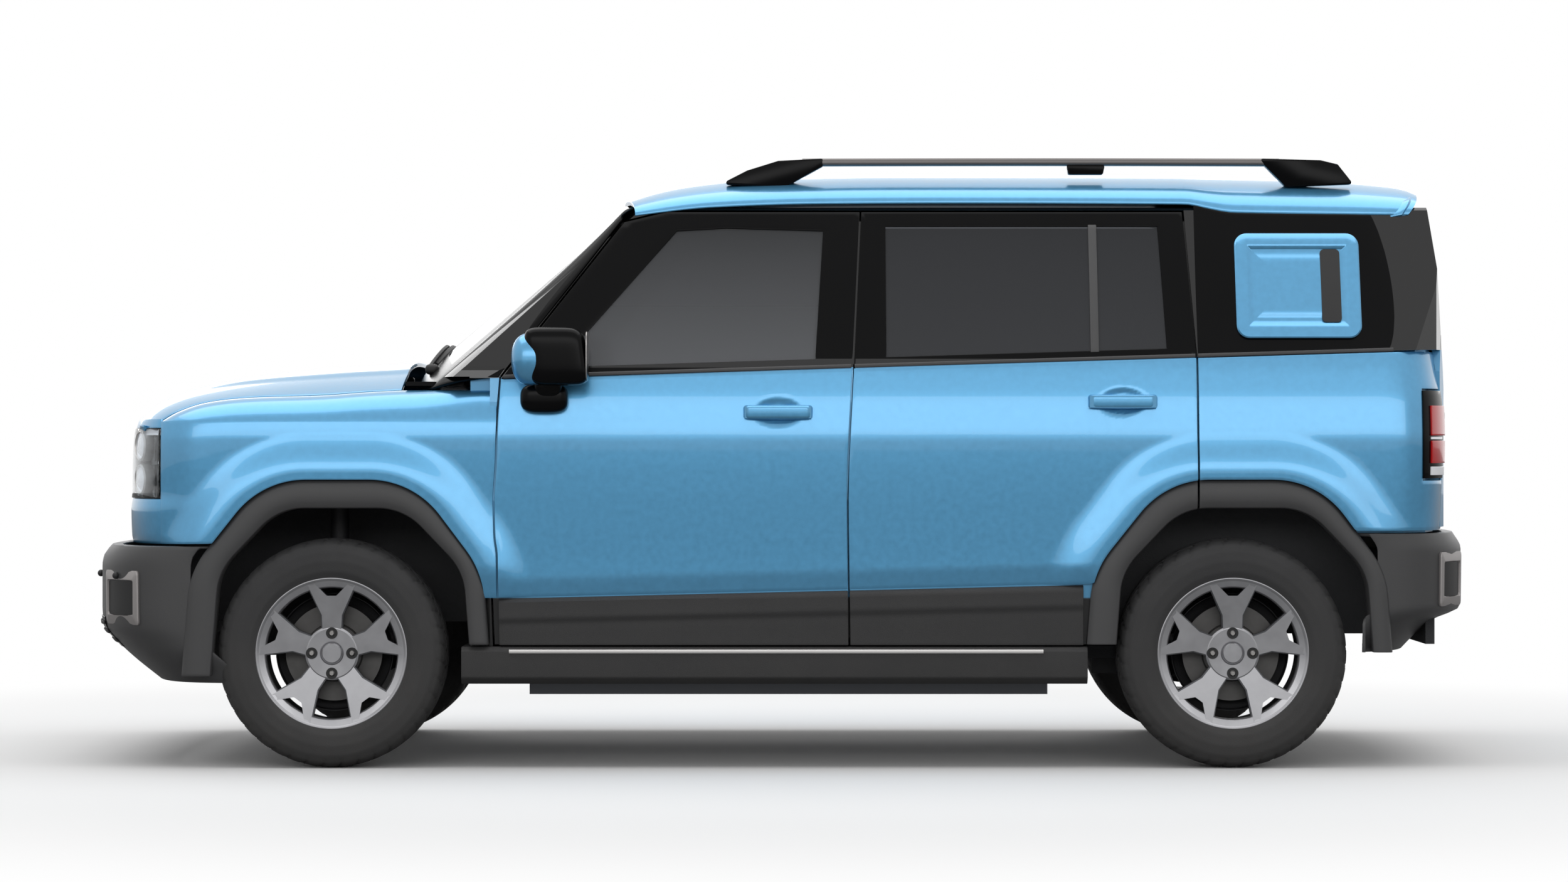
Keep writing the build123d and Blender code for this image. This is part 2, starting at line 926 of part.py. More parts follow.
# Side frames: pillars, roof rail and sill of each side, with the pockets that the doors close into
front_aperture = [
    (front_door_belt_x - aperture_lap - 20, rocker_high_z + aperture_lap),
    (front_door_belt_x - aperture_lap - 20, belt_height(front_door_belt_x)),
    (door_front_top_x - aperture_lap, door_front_top_z - aperture_lap),
    (b_line_x + pillar_b_half, door_top_z - aperture_lap),
    (b_line_x + pillar_b_half, rocker_high_z + aperture_lap),
]
rear_aperture = [
    (b_line_x - pillar_b_half, rocker_high_z + aperture_lap),
    (b_line_x - pillar_b_half, door_top_z - aperture_lap),
    (rear_door_rear_x + 26 + aperture_lap, door_top_z - aperture_lap),
    (rear_door_rear_x + aperture_lap, belt_z),
    (rear_door_rear_x + aperture_lap, arch_top_z + trim_band + aperture_lap),
    (rear_axle_x + arch_foot_half + 100, rocker_high_z + aperture_lap),
]
belt_region = [
    (rear_door_rear_x - shut_gap, 0),
    (rear_door_rear_x - shut_gap, belt_height(rear_door_rear_x)),
    (tail_x, belt_height(tail_x)),
    (tail_x, 0),
]
screen_outline = mirrored([(screen_low_half, screen_low_z), (screen_high_half, screen_high_z)])
tailgate_cut = front_prism(
    mirrored(tailgate_half_outline(shut_gap)), tail_x - 100, tail_top_x + tailgate_thick + 60
)
tail_opening = block((tail_x, 0, 0), (rear_panel_x + 80, tailgate_top_half + shut_gap, far))
lamp_cut = block((tail_x, tail_lamp_inner_half, tail_lamp_low_z),
                 (tail_top_x - 20, far, tail_lamp_high_z))
pockets = []
for place in doors:
    with BuildPart() as pocket:
        add(grown_prism(doors[place], shut_gap, 0, far))
        add(pocket_core, mode=Mode.SUBTRACT)
    pockets.append(pocket.part)
with BuildPart() as quarter_skin:
    add(cabin_outer)
    add(quarter_core, mode=Mode.SUBTRACT)
    add(side_prism(belt_region, 0, far), mode=Mode.INTERSECT)

# Front fenders
panel_region = block((front_side_x, -panel_half, 0), (far, panel_half, panel_top_z))
with BuildPart() as fender:
    add(front_outer)
    add(front_inner, mode=Mode.SUBTRACT)
    add(block((fender_rear_x, 0, cladding_top_z), (far, far, far)), mode=Mode.INTERSECT)
    add(block((0, 0, 0), (far, hood_half + shut_gap, far)), mode=Mode.SUBTRACT)
    add(panel_region, mode=Mode.SUBTRACT)
    add(arch_prism(front_axle_x, trim_band, trim_rear_band, 0, far), mode=Mode.SUBTRACT)
    add(block((front_axle_x, 0, 0), (far, far, bumper_top_z)), mode=Mode.SUBTRACT)
    add(block((0, 0, fender_top_z), (hood_rear_x - 10, far, far)), mode=Mode.SUBTRACT)
save(left_and_right(fender.part), "front_fenders")

with BuildPart() as side_frame:
    add(cabin_outer)
    add(cabin_core, mode=Mode.SUBTRACT)
    add(block((tail_x, 0, sill_z), (far, far, roof_seam_z)), mode=Mode.INTERSECT)
    add(block((fender_rear_x, post_half, 0), (far, far, fender_top_z)), mode=Mode.SUBTRACT)
    add(block((front_axle_x - wheelhouse_radius - 8, 0, 0), (far, far, fender_top_z + 4)),
        mode=Mode.SUBTRACT)
    for pocket in pockets:
        add(pocket, mode=Mode.SUBTRACT)
    add(side_prism(front_aperture, 0, far), mode=Mode.SUBTRACT)
    add(side_prism(rear_aperture, 0, far), mode=Mode.SUBTRACT)
    add(arch_prism(rear_axle_x, trim_band, trim_rear_band, 0, far), mode=Mode.SUBTRACT)
    add(front_prism(screen_outline, 300, far), mode=Mode.SUBTRACT)
    add(tailgate_cut, mode=Mode.SUBTRACT)
    add(tail_opening, mode=Mode.SUBTRACT)
    add(block((0, 0, 0), (far, screen_low_half, screen_low_z + 1)), mode=Mode.SUBTRACT)
    add(quarter_skin.part, mode=Mode.SUBTRACT)
    add(fender.part, mode=Mode.SUBTRACT)
    add(block((rear_axle_x - arch_foot_half - trim_band, 0, 0), (rear_axle_x, far, rear_bumper_low_z + 60)),
        mode=Mode.SUBTRACT)
    add(block((tail_x, 0, 0), (rear_axle_x, far, rear_bumper_top_z)), mode=Mode.SUBTRACT)
    for place in doors:
        add(hinge_arms(place))
save(left_and_right(side_frame.part), "side_frames")

# Rear quarters: the painted skin behind the rear doors, below the belt
with BuildPart() as rear_quarter:
    add(quarter_skin.part)
    add(arch_prism(rear_axle_x, trim_band, trim_rear_band, 0, far), mode=Mode.SUBTRACT)
    add(block((tail_x, 0, 0), (rear_axle_x, far, rear_bumper_top_z)), mode=Mode.SUBTRACT)
    add(tailgate_cut, mode=Mode.SUBTRACT)
    add(tail_opening, mode=Mode.SUBTRACT)
    add(lamp_cut, mode=Mode.SUBTRACT)
with BuildPart() as rear_quarters:
    add(left_and_right(rear_quarter.part))
    for hinge_z in tail_hinge_heights:
        add(block((tail_hinge_x - tail_bracket_half, -tail_strip_outer, hinge_z),
                  (tail_hinge_x + tail_bracket_inner, -tail_hinge_half + tail_bracket_lap,
                   hinge_z + tail_bracket_height)))
        add(block((tail_hinge_x - tail_bracket_half, -tail_strip_outer, hinge_z),
                  (tail_hinge_x + tail_strip_depth, -tail_strip_inner, hinge_z + tail_bracket_height)))
        with BuildSketch(Plane.XY.offset(hinge_z)):
            with Locations((tail_hinge_x, -tail_hinge_half)):
                Circle(tail_pin_radius)
        extrude(amount=tail_bracket_height + tail_knuckle_height)
save(rear_quarters.part, "rear_quarters")

# Tail lamps, in the corners beside the tailgate
with BuildPart() as tail_lamp:
    add(quarter_skin.part)
    add(lamp_cut, mode=Mode.INTERSECT)
    add(tailgate_cut, mode=Mode.SUBTRACT)
save(left_and_right(tail_lamp.part), "tail_lamps")

# Rear wheelhouses, between the arches and the load space
with BuildPart() as wheelhouse:
    add(arch_prism(rear_axle_x, wheelhouse_band + wheelhouse_wall, wheelhouse_band + wheelhouse_wall,
                   rear_wheelhouse_half - wheelhouse_wall, wheelhouse_outer_half))
    add(arch_prism(rear_axle_x, wheelhouse_band, wheelhouse_band,
                   rear_wheelhouse_half, wheelhouse_outer_half + 1), mode=Mode.SUBTRACT)
    add(block((tail_x, 0, rear_bumper_low_z + 66), (far, far, far)), mode=Mode.INTERSECT)
    add(side_frame.part, mode=Mode.SUBTRACT)
save(left_and_right(wheelhouse.part), "wheelhouses")

# Roof with its rear spoiler
spoiler_outline = [
    (tail_top_x + 90, roof_seam_z + 44),
    (tail_top_x + 90, roof_rear_z - 28),
    (tail_top_x - 10, tail_top_z),
    (tail_top_x - 40, tail_top_z - 34),
    (tail_top_x - 18, tail_top_z - 44),
]
with BuildPart() as roof:
    add(cabin_outer)
    add(roof_core, mode=Mode.SUBTRACT)
    add(block((tail_x, -far, roof_seam_z), (far, far, far)), mode=Mode.INTERSECT)
    add(front_prism(screen_outline, 300, far), mode=Mode.SUBTRACT)
    add(side_prism(spoiler_outline, -roof_side_half, roof_side_half))
save(roof.part, "roof")

# Windscreen
with BuildPart() as windscreen:
    add(cabin_outer)
    add(screen_core, mode=Mode.SUBTRACT)
    add(front_prism(screen_outline, 300, far), mode=Mode.INTERSECT)
save(windscreen.part, "windscreen")

# Cowl: a trough behind the hood, with the brackets and pins that carry the hood
trough_z = hood_hinge_z - hood_bracket_drop
cowl_box = [
    (screen_foot_x - cowl_depth, trough_z - cowl_thick),
    (screen_foot_x, trough_z - cowl_thick),
    (screen_foot_x, screen_low_z - 1),
    (screen_foot_x - cowl_depth, screen_low_z - 1),
]
cowl_trough = block((screen_foot_x - cowl_depth, -screen_low_half, trough_z - cowl_thick),
                    (hood_rear_x - cowl_gap, screen_low_half, trough_z))
with BuildPart() as cowl:
    add(side_prism(cowl_box, -screen_low_half, screen_low_half))
    add(cabin_outer, mode=Mode.INTERSECT)
    add(cowl_trough)
    for sign in (1, -1):
        low_y, high_y = sorted((sign * hood_hinge_half, sign * (hood_hinge_half + hood_ear_width)))
        add(block((screen_foot_x, low_y, trough_z - cowl_thick),
                  (hood_hinge_x + hood_ear_half, high_y, trough_z)))
        add(block((hood_hinge_x - hood_ear_half, low_y, trough_z - cowl_thick),
                  (hood_hinge_x + hood_ear_half, high_y, hood_hinge_z)))
        with BuildSketch(Plane.XZ.offset(-sign * (hood_hinge_half + hood_ear_width))):
            with Locations((hood_hinge_x, hood_hinge_z)):
                Circle(hood_ear_half)
        extrude(amount=sign * hood_ear_width)
        with BuildSketch(Plane.XZ.offset(-sign * (hood_hinge_half + hood_ear_width))):
            with Locations((hood_hinge_x, hood_hinge_z)):
                Circle(hood_pin_radius)
        extrude(amount=sign * (2 * hood_ear_width + hood_ear_gap))
save(cowl.part, "cowl")

# Hood
with BuildPart() as hood:
    add(front_outer)
    add(hood_under, mode=Mode.SUBTRACT)
    add(block((hood_rear_x, -hood_half, hood_lip_z), (far, hood_half, far)), mode=Mode.INTERSECT)
    for sign in (1, -1):
        ear_y = hood_hinge_half - hood_ear_gap
        low_y, high_y = sorted((sign * ear_y, sign * (ear_y - hood_ear_width)))
        add(block((hood_hinge_x - hood_ear_half, low_y, hood_hinge_z),
                  (hood_hinge_x + hood_ear_half, high_y, hood_rear_z - hood_thick + 4)))
        with BuildSketch(Plane.XZ.offset(-sign * ear_y)):
            with Locations((hood_hinge_x, hood_hinge_z)):
                Circle(hood_ear_half)
        extrude(amount=sign * hood_ear_width)
        with BuildSketch(Plane.XZ.offset(-sign * (ear_y + 1))):
            with Locations((hood_hinge_x, hood_hinge_z)):
                Circle(hood_pin_radius + running_gap)
        extrude(amount=sign * (hood_ear_width + 2), mode=Mode.SUBTRACT)
save(hood.part, "hood")

# Front face: the painted panel, the black grille between the lamps and the lamps
lamp_band = block((0, -panel_half, head_lamp_low_z), (far, panel_half, head_lamp_high_z))
with BuildPart() as front_panel:
    add(front_outer)
    add(front_inner, mode=Mode.SUBTRACT)
    add(panel_region, mode=Mode.INTERSECT)
    add(block((0, -far, 0), (far, far, bumper_top_z)), mode=Mode.SUBTRACT)
    add(lamp_band, mode=Mode.SUBTRACT)
    add(block((front_side_x, -far / 2, 0), (front_corner_x - 80, far / 2, far)), mode=Mode.SUBTRACT)
save(front_panel.part, "front_panel")
lamp_floor = front_form(lamp_depth)
with BuildPart() as lamp_pocket:
    add(block((front_side_x, head_lamp_inner_half + lamp_border, head_lamp_low_z + lamp_border),
              (far, panel_half - lamp_border, head_lamp_high_z - lamp_border)))
    add(lamp_floor, mode=Mode.SUBTRACT)
with BuildPart() as lamp_lenses:
    with BuildSketch(Plane.YZ.offset(front_corner_x - lamp_depth)):
        with Locations(*[(lamp_lens_half, z) for z in lamp_lens_heights]):
            Circle(lamp_lens_radius)
    extrude(amount=far)
    add(front_form(lamp_lens_inset), mode=Mode.INTERSECT)
    add(front_inner, mode=Mode.SUBTRACT)
with BuildPart() as head_lamp:
    add(front_outer)
    add(front_inner, mode=Mode.SUBTRACT)
    add(block((front_side_x, head_lamp_inner_half, head_lamp_low_z), (far, panel_half, head_lamp_high_z)),
        mode=Mode.INTERSECT)
    add(block((0, 0, 0), (front_corner_x - 80, far, far)), mode=Mode.SUBTRACT)
    add(lamp_pocket.part, mode=Mode.SUBTRACT)
    add(lamp_lenses.part)
save(left_and_right(head_lamp.part), "head_lamps")
with BuildPart() as grille_slots:
    with BuildSketch(Plane.YZ.offset(front_corner_x)):
        with Locations((0, (head_lamp_low_z + head_lamp_high_z) / 2)):
            with GridLocations(grille_pitch, 1, grille_slot_count, 1):
                RectangleRounded(grille_slot_width, grille_slot_height, grille_slot_width * 0.3)
    extrude(amount=far)
    add(lamp_floor, mode=Mode.SUBTRACT)
with BuildPart() as grille:
    add(front_outer)
    add(front_inner, mode=Mode.SUBTRACT)
    add(block((front_side_x, -head_lamp_inner_half, head_lamp_low_z),
              (far, head_lamp_inner_half, head_lamp_high_z)), mode=Mode.INTERSECT)
    add(grille_slots.part, mode=Mode.SUBTRACT)
save(grille.part, "grille")

# Bumpers
def cut_to(whole, region):
    """Part of a solid inside a region."""
    with BuildPart(mode=Mode.PRIVATE) as piece:
        add(whole)
        add(region, mode=Mode.INTERSECT)
    return piece.part


def bumper_regions():
    """Boxes that split the front bumper into mouldings round its two lower intakes."""
    near = intake_outer_half - seat_gap / 2
    beyond = intake_outer_half + seat_gap / 2
    return [
        block((0, -near, intake_high_z), (far, near, far)),
        block((0, -near, 0), (far, near, intake_low_z)),
        block((0, -intake_inner_half, intake_low_z + seat_gap),
              (far, intake_inner_half, intake_high_z - seat_gap)),
        block((0, beyond, 0), (far, far, far)),
        block((0, -far, 0), (far, -beyond, far)),
    ]


for front, name in ((True, "front_bumper"), (False, "rear_bumper")):
    axle_x = front_axle_x if front else rear_axle_x
    with BuildPart() as bumper:
        add(bumper_solid(front, 0))
        add(bumper_hollow(front), mode=Mode.SUBTRACT)
        add(arch_prism(axle_x, trim_band, trim_rear_band, -far / 4, far / 4), mode=Mode.SUBTRACT)
    regions = bumper_regions() if front else [block((-far, -far, 0), (far, far, far))]
    with BuildPart() as split_bumper:
        for region in regions:
            add(cut_to(bumper.part, region))
    save(split_bumper.part, name)

# Silver hoops on the bumpers' corners
with BuildPart() as inserts:
    for front in (True, False):
        low_z = bumper_face_z if front else rear_bumper_face_z
        with BuildPart(mode=Mode.PRIVATE) as hoop:
            add(bumper_solid(front, 8))
            add(bumper_solid(front, 0), mode=Mode.SUBTRACT)
            add(block((-far, 480, low_z + 6), (far, 760, low_z + 160)), mode=Mode.INTERSECT)
            add(block((-far, 540, low_z + 40), (far, 700, low_z + 126)), mode=Mode.SUBTRACT)
        add(left_and_right(hoop.part))
save(inserts.part, "bumper_hoops")

# Arch trims that stay with the body, and the rockers under the doors
with BuildPart() as front_ring:
    add(ring_band(front_axle_x, trim_face_half - trim_inboard, trim_face_half))
    add(block((front_axle_x, 0, bumper_low_z), (far, far, far)), mode=Mode.INTERSECT)
with BuildPart() as front_ring_rear:
    add(ring_band(front_axle_x, trim_face_half - trim_inboard, trim_face_half))
    add(block((0, 0, rocker_high_z + shut_gap), (front_axle_x, far, far)), mode=Mode.INTERSECT)
with BuildPart() as rear_ring:
    add(ring_band(rear_axle_x, trim_face_half - trim_inboard, trim_face_half))
    add(block((tail_x, 0, rear_bumper_low_z), (rear_door_rear_x - shut_gap, far, far)),
        mode=Mode.INTERSECT)
    add(side_prism([(rear_bumper_front_x, 0), (rear_bumper_front_x, rear_bumper_low_z),
                    (tail_x + 90, rear_bumper_low_z + 104), (tail_x + 90, 0)], 0, far),
        mode=Mode.SUBTRACT)
with BuildPart() as arch_trims:
    add(left_and_right(front_ring.part))
    add(left_and_right(front_ring_rear.part))
    add(left_and_right(rear_ring.part))
save(arch_trims.part, "arch_trims")
with BuildPart() as rocker:
    add(block((rocker_rear_x, sill_inner_half, rocker_low_z), (rocker_front_x, rocker_half, rocker_high_z)))
    add(cabin_outer, mode=Mode.SUBTRACT)
    add(block((0, 0, 0), (far, cabin_outer.bounding_box().max.Y - skin_thick, far)), mode=Mode.SUBTRACT)
save(left_and_right(rocker.part), "rockers")

# Tailgate, hinged at its right edge, and its glass
back_glass_outline = mirrored([
    (tailgate_belt_half - back_glass_border - 20, back_glass_low_z),
    (tailgate_top_half - back_glass_border + 30, back_glass_high_z),
])
with BuildPart() as tail_slab:
    add(cabin_outer)
    add(tail_core, mode=Mode.SUBTRACT)
    add(front_prism(mirrored(tailgate_half_outline(0)), tail_x - 100, tail_top_x + tailgate_thick),
        mode=Mode.INTERSECT)
with BuildPart() as tailgate:
    add(tail_slab.part)
    add(front_prism(back_glass_outline, tail_x - 100, 0), mode=Mode.SUBTRACT)
    for hinge_z in tail_hinge_heights:
        low_z = hinge_z + tail_bracket_height + running_gap
        add(block((tail_hinge_x - tail_bracket_half, -tail_hinge_half - tail_bracket_half, low_z),
                  (tail_hinge_x + tail_knuckle_reach, -tail_hinge_half + tail_bracket_half,
                   low_z + tail_knuckle_height)))
        with BuildSketch(Plane.XY.offset(low_z)):
            with Locations((tail_hinge_x, -tail_hinge_half)):
                Circle(tail_pin_radius + running_gap)
        extrude(amount=tail_knuckle_height, mode=Mode.SUBTRACT)
save(tailgate.part, "tailgate")
glass_band = cabin_form(tailgate_thick / 3, 0, 0, 0, tailgate_thick / 3)
glass_band_core = cabin_form(tailgate_thick / 3 + glass_thick, 0, 0, 0, tailgate_thick / 3 + glass_thick)
with BuildPart() as tailgate_glass:
    add(glass_band)
    add(glass_band_core, mode=Mode.SUBTRACT)
    add(front_prism(back_glass_outline, tail_x - 100, tail_top_x + tailgate_thick), mode=Mode.INTERSECT)
save(tailgate_glass.part, "tailgate_glass")

# Roof rails on three feet a side
rail_outline = [
    (rail_front_x, roof_edge_z + 50),
    (rail_front_x - 60, rail_top_z - 44),
    (rail_front_x - 190, rail_top_z - 10),
    (rail_front_x - 310, rail_top_z),
    (rail_rear_x + 230, rail_top_z),
    (rail_rear_x + 60, rail_top_z - 12),
    (rail_rear_x, roof_edge_z + 60),
]
rail_gap_z = rail_top_z - rail_bar_thick
with BuildPart() as rail:
    add(side_prism(rail_outline, rail_inner_half, rail_inner_half + rail_width))
    for front_x, rear_x in (
        (rail_front_x - 250, rail_post_x + rail_post_length / 2),
        (rail_post_x - rail_post_length / 2, rail_rear_x + 170),
    ):
        add(block((rear_x, 0, 0), (front_x, far, rail_gap_z)), mode=Mode.SUBTRACT)
    add(cabin_outer, mode=Mode.SUBTRACT)
save(left_and_right(rail.part), "roof_rails")

# Side boxes on the black rear quarters
box_outline = [
    (box_front_x, box_low_z), (box_front_x + 8, box_high_z),
    (box_rear_x + 26, box_high_z), (box_rear_x, box_low_z),
]
box_inner = [
    (box_front_x - box_border, box_low_z + 30), (box_front_x - box_border, box_high_z - 34),
    (box_rear_x + 52, box_high_z - 34), (box_rear_x + 30, box_low_z + 30),
]
with BuildPart() as side_box:
    add(box_outer)
    add(cabin_outer, mode=Mode.SUBTRACT)
    add(round_prism(box_outline, 34, 0, far), mode=Mode.INTERSECT)
with BuildPart() as box_recess:
    add(box_outer)
    add(box_core, mode=Mode.SUBTRACT)
    add(round_prism(box_inner, 20, 0, far), mode=Mode.INTERSECT)
with BuildPart() as side_box_cut:
    add(side_box.part)
    add(box_recess.part, mode=Mode.SUBTRACT)
save(left_and_right(side_box_cut.part), "side_boxes")

floor_half = sill_half - door_thick - frame_depth

# Floor, with its step up over the drive unit, and the rear panel
floor_outline = [
    (bulkhead_x, floor_z), (bulkhead_x, floor_z + floor_thick),
    (kick_x, floor_z + floor_thick), (kick_x - 60, cargo_floor_z + floor_thick),
    (rear_panel_x, cargo_floor_z + floor_thick), (rear_panel_x, cargo_floor_z),
    (kick_x - 60 - floor_thick, cargo_floor_z), (kick_x - floor_thick, floor_z),
]
with BuildPart() as floor_pan:
    add(side_prism(floor_outline, -rear_wheelhouse_half + wheelhouse_wall, rear_wheelhouse_half - wheelhouse_wall))
    add(block((rear_axle_x + arch_foot_half + 80, -floor_half, floor_z), (bulkhead_x, floor_half, floor_z + floor_thick)))
    add(block((rear_panel_x - 26, -tailgate_low_half - 20, rear_bumper_low_z + 40),
              (rear_panel_x, tailgate_low_half + 20, rear_panel_z)))
save(floor_pan.part, "floor")

# Front frame: bulkhead, rails, inner aprons and the cross member
apron_outline = [
    (apron_half - apron_thick, 400), (apron_half, 400), (apron_half, wheelhouse_top_z),
    (panel_half, wheelhouse_top_z), (panel_half, apron_top_z),
    (panel_half - apron_thick, apron_top_z), (panel_half - apron_thick, wheelhouse_top_z + apron_thick),
    (apron_half - apron_thick, wheelhouse_top_z + apron_thick),
]
with BuildPart() as front_frame:
    add(block((bulkhead_x, -dash_half, floor_z), (bulkhead_x + bulkhead_thick, dash_half, fender_top_z - 12)))
    for sign in (1, -1):
        outline = [(sign * y, z) for y, z in apron_outline]
        add(front_prism(outline, bulkhead_x + bulkhead_thick, apron_front_x))
        y_pair = sorted((sign * (apron_half - rail_size), sign * apron_half))
        add(block((bulkhead_x, y_pair[0], 400), (apron_front_x + 40, y_pair[1], 400 + rail_size)))
    add(block((apron_front_x, -cross_half, cross_low_z),
              (apron_front_x + cross_thick, cross_half, cross_high_z)))
    add(front_inner, mode=Mode.INTERSECT)
    with BuildSketch(Plane.YZ.offset(apron_front_x + cross_thick)):
        with Locations((tow_eye_y, tow_eye_z)):
            Circle(tow_eye_radius)
    extrude(amount=-tow_eye_depth, mode=Mode.SUBTRACT)
save(front_frame.part, "front_frame")

# Battery pack under the floor and drive unit at the rear axle
save(block((battery_x - battery_length / 2, -battery_width / 2, battery_low_z),
           (battery_x + battery_length / 2, battery_width / 2, floor_z)), "battery_pack")
with BuildPart() as drive_unit:
    with BuildSketch(Plane.XZ.offset(-drive_half)):
        with Locations((rear_axle_x, tyre_radius + 20)):
            Circle(drive_radius)
    extrude(amount=2 * drive_half)
    with BuildSketch(Plane.XY.offset(tyre_radius + 60)):
        with Locations((rear_axle_x, 0)):
            Rectangle(drive_radius, drive_half)
    extrude(amount=cargo_floor_z - tyre_radius - 60)
save(drive_unit.part, "drive_unit")

# Front suspension: subframe, lower arms with the lower pins, struts with the upper pins
with BuildPart() as front_suspension:
    arm_top = knuckle_low_z - running_gap
    add(block((front_axle_x - 80, -subframe_half, arm_top - arm_thick - 20),
              (front_axle_x + 80, subframe_half, arm_top + 6)))
    for sign in (1, -1):
        for y_low, y_high in (sorted((sign * (subframe_half - 10), sign * (kingpin_half + 18))),):
            add(block((front_axle_x - 26, y_low, arm_top - arm_thick), (front_axle_x + 26, y_high, arm_top)))
        for y_low, y_high in (sorted((sign * (apron_half - 60), sign * (subframe_half - 60))),):
            add(block((front_axle_x - 30, y_low, arm_top), (front_axle_x + 30, y_high, 400)))
        for y_low, y_high in (sorted((sign * (strut_half - strut_radius), sign * (kingpin_half + 18))),):
            add(block((front_axle_x - 26, y_low, knuckle_high_z + running_gap),
                      (front_axle_x + 26, y_high, knuckle_high_z + running_gap + 24)))
        with BuildSketch(Plane.XY.offset(knuckle_high_z + running_gap + 10)):
            with Locations((front_axle_x, sign * strut_half)):
                Circle(strut_radius)
        extrude(amount=wheelhouse_top_z - knuckle_high_z - running_gap - 10)
        for z, length in ((arm_top, pin_length), (knuckle_high_z + running_gap, -pin_length)):
            with BuildSketch(Plane.XY.offset(z)):
                with Locations((front_axle_x, sign * kingpin_half)):
                    Circle(pin_radius)
            extrude(amount=length)
save(front_suspension.part, "front_suspension")

# Rear axle: beam, trailing arms and stubs
with BuildPart() as rear_axle:
    with BuildSketch(Plane.XZ.offset(-beam_half)):
        with Locations((beam_x, beam_z)):
            Circle(beam_radius)
    extrude(amount=2 * beam_half)
    for sign in (1, -1):
        y_low, y_high = sorted((sign * (beam_half - arm_width), sign * beam_half))
        add(block((rear_axle_x - hub_radius, y_low, floor_z - arm_height), (arm_front_x, y_high, floor_z)))
        add(block((rear_axle_x - hub_radius, y_low, floor_z - arm_height),
                  (rear_axle_x + hub_radius, y_high, tyre_radius + hub_radius)))
        with BuildSketch(Plane.XZ.offset(-sign * (beam_half - arm_width))):
            with Locations((rear_axle_x, tyre_radius)):
                Circle(hub_radius)
        extrude(amount=-sign * (knuckle_face_half - beam_half + arm_width))
        with BuildSketch(Plane.XZ.offset(-sign * (knuckle_face_half - 10))):
            with Locations((rear_axle_x, tyre_radius)):
                Circle(stub_radius)
        extrude(amount=-sign * (stub_end_half - knuckle_face_half + 10))
save(rear_axle.part, "rear_axle")

# Knuckles: a post on the two pins, with the stub that carries the wheel
for side, sign in (("left", 1), ("right", -1)):
    with BuildPart() as knuckle:
        with BuildSketch(Plane.XY.offset(knuckle_low_z)):
            with Locations((front_axle_x, sign * kingpin_half)):
                Circle(knuckle_radius)
                Circle(pin_radius + running_gap, mode=Mode.SUBTRACT)
        extrude(amount=knuckle_high_z - knuckle_low_z)
        with BuildSketch(Plane.XY.offset(knuckle_low_z + pin_length + 10)):
            with Locations((front_axle_x, sign * kingpin_half)):
                Circle(knuckle_radius)
        extrude(amount=knuckle_high_z - knuckle_low_z - 2 * pin_length - 20)
        with BuildSketch(Plane.XZ.offset(-sign * kingpin_half)):
            with Locations((front_axle_x, tyre_radius)):
                Circle(stub_radius)
        extrude(amount=-sign * (stub_end_half - kingpin_half))
    save(knuckle.part, f"knuckle_{side}")

# Tyres and wheels, with the hub and brake disc that turn with them
tyre_profile = [
    (rim_radius, -80), (rim_radius + 14, -84), (rim_radius + 26, -96), (272, -tyre_width / 2),
    (tyre_radius - 26, -tyre_width / 2 + 3), (tyre_radius - 8, -tyre_width / 2 + 16),
    (tyre_radius, -tyre_width / 2 + 44),
]
rim_profile = [
    (rim_radius - rim_wall, -rim_width / 2 - 4), (rim_radius + rim_lip, -rim_width / 2 - 4),
    (rim_radius + rim_lip, -rim_width / 2 + 2), (rim_radius, -rim_width / 2 + 2),
    (rim_radius, rim_width / 2 - 2), (rim_radius + rim_lip, rim_width / 2 - 2),
    (rim_radius + rim_lip, rim_width / 2 + 4), (rim_radius - rim_wall, rim_width / 2 + 4),
]
with BuildPart() as tyre:
    with BuildSketch(Plane.XY):
        with BuildLine():
            Polyline(*(tyre_profile + [(r, -y) for r, y in reversed(tyre_profile)]), close=True)
        make_face()
    revolve(axis=Axis.Y)

spoke_face = rim_width / 2 - wheel_face_inset
with BuildPart() as wheel:
    with BuildSketch(Plane.XY):
        with BuildLine():
            Polyline(*rim_profile, close=True)
        make_face()
    revolve(axis=Axis.Y)
    with BuildSketch(Plane.XZ.offset(-spoke_face)):
        Circle(wheel_hub_radius)
        for index in range(spoke_count):
            turn = 270 + index * 360 / spoke_count
            with Locations(Rot(0, 0, turn) * Pos(fork_radius / 2, 0)):
                Rectangle(fork_radius, spoke_width)
            for lean in (fork_angle, -fork_angle):
                tip = Vector(rim_radius - rim_wall / 2, 0).rotate(Axis.Z, turn + lean)
                root = Vector(fork_radius - 26, 0).rotate(Axis.Z, turn + lean * 0.7)
                middle = (tip + root) * 0.5
                arm = tip - root
                with Locations(Pos(middle.X, middle.Y) * Rot(0, 0, degrees(atan2(arm.Y, arm.X)))):
                    Rectangle(arm.length, fork_width)
    extrude(amount=spoke_depth)
    with BuildSketch(Plane.XZ.offset(-spoke_face)):
        Circle(wheel_hub_radius - 16)
    extrude(amount=spoke_face + disc_offset + disc_thick)
    with BuildSketch(Plane.XZ.offset(disc_offset)):
        Circle(disc_radius)
    extrude(amount=disc_thick)
    with BuildSketch(Plane.XZ.offset(disc_offset + disc_thick)):
        Circle(stub_radius + running_gap)
    extrude(amount=-(stub_end_half - track_half + disc_offset + disc_thick + 4), mode=Mode.SUBTRACT)
    with BuildSketch(Plane.XZ.offset(-spoke_face)):
        with PolarLocations(lug_circle / 2, 4):
            Circle(lug_radius)
    extrude(amount=-lug_height)

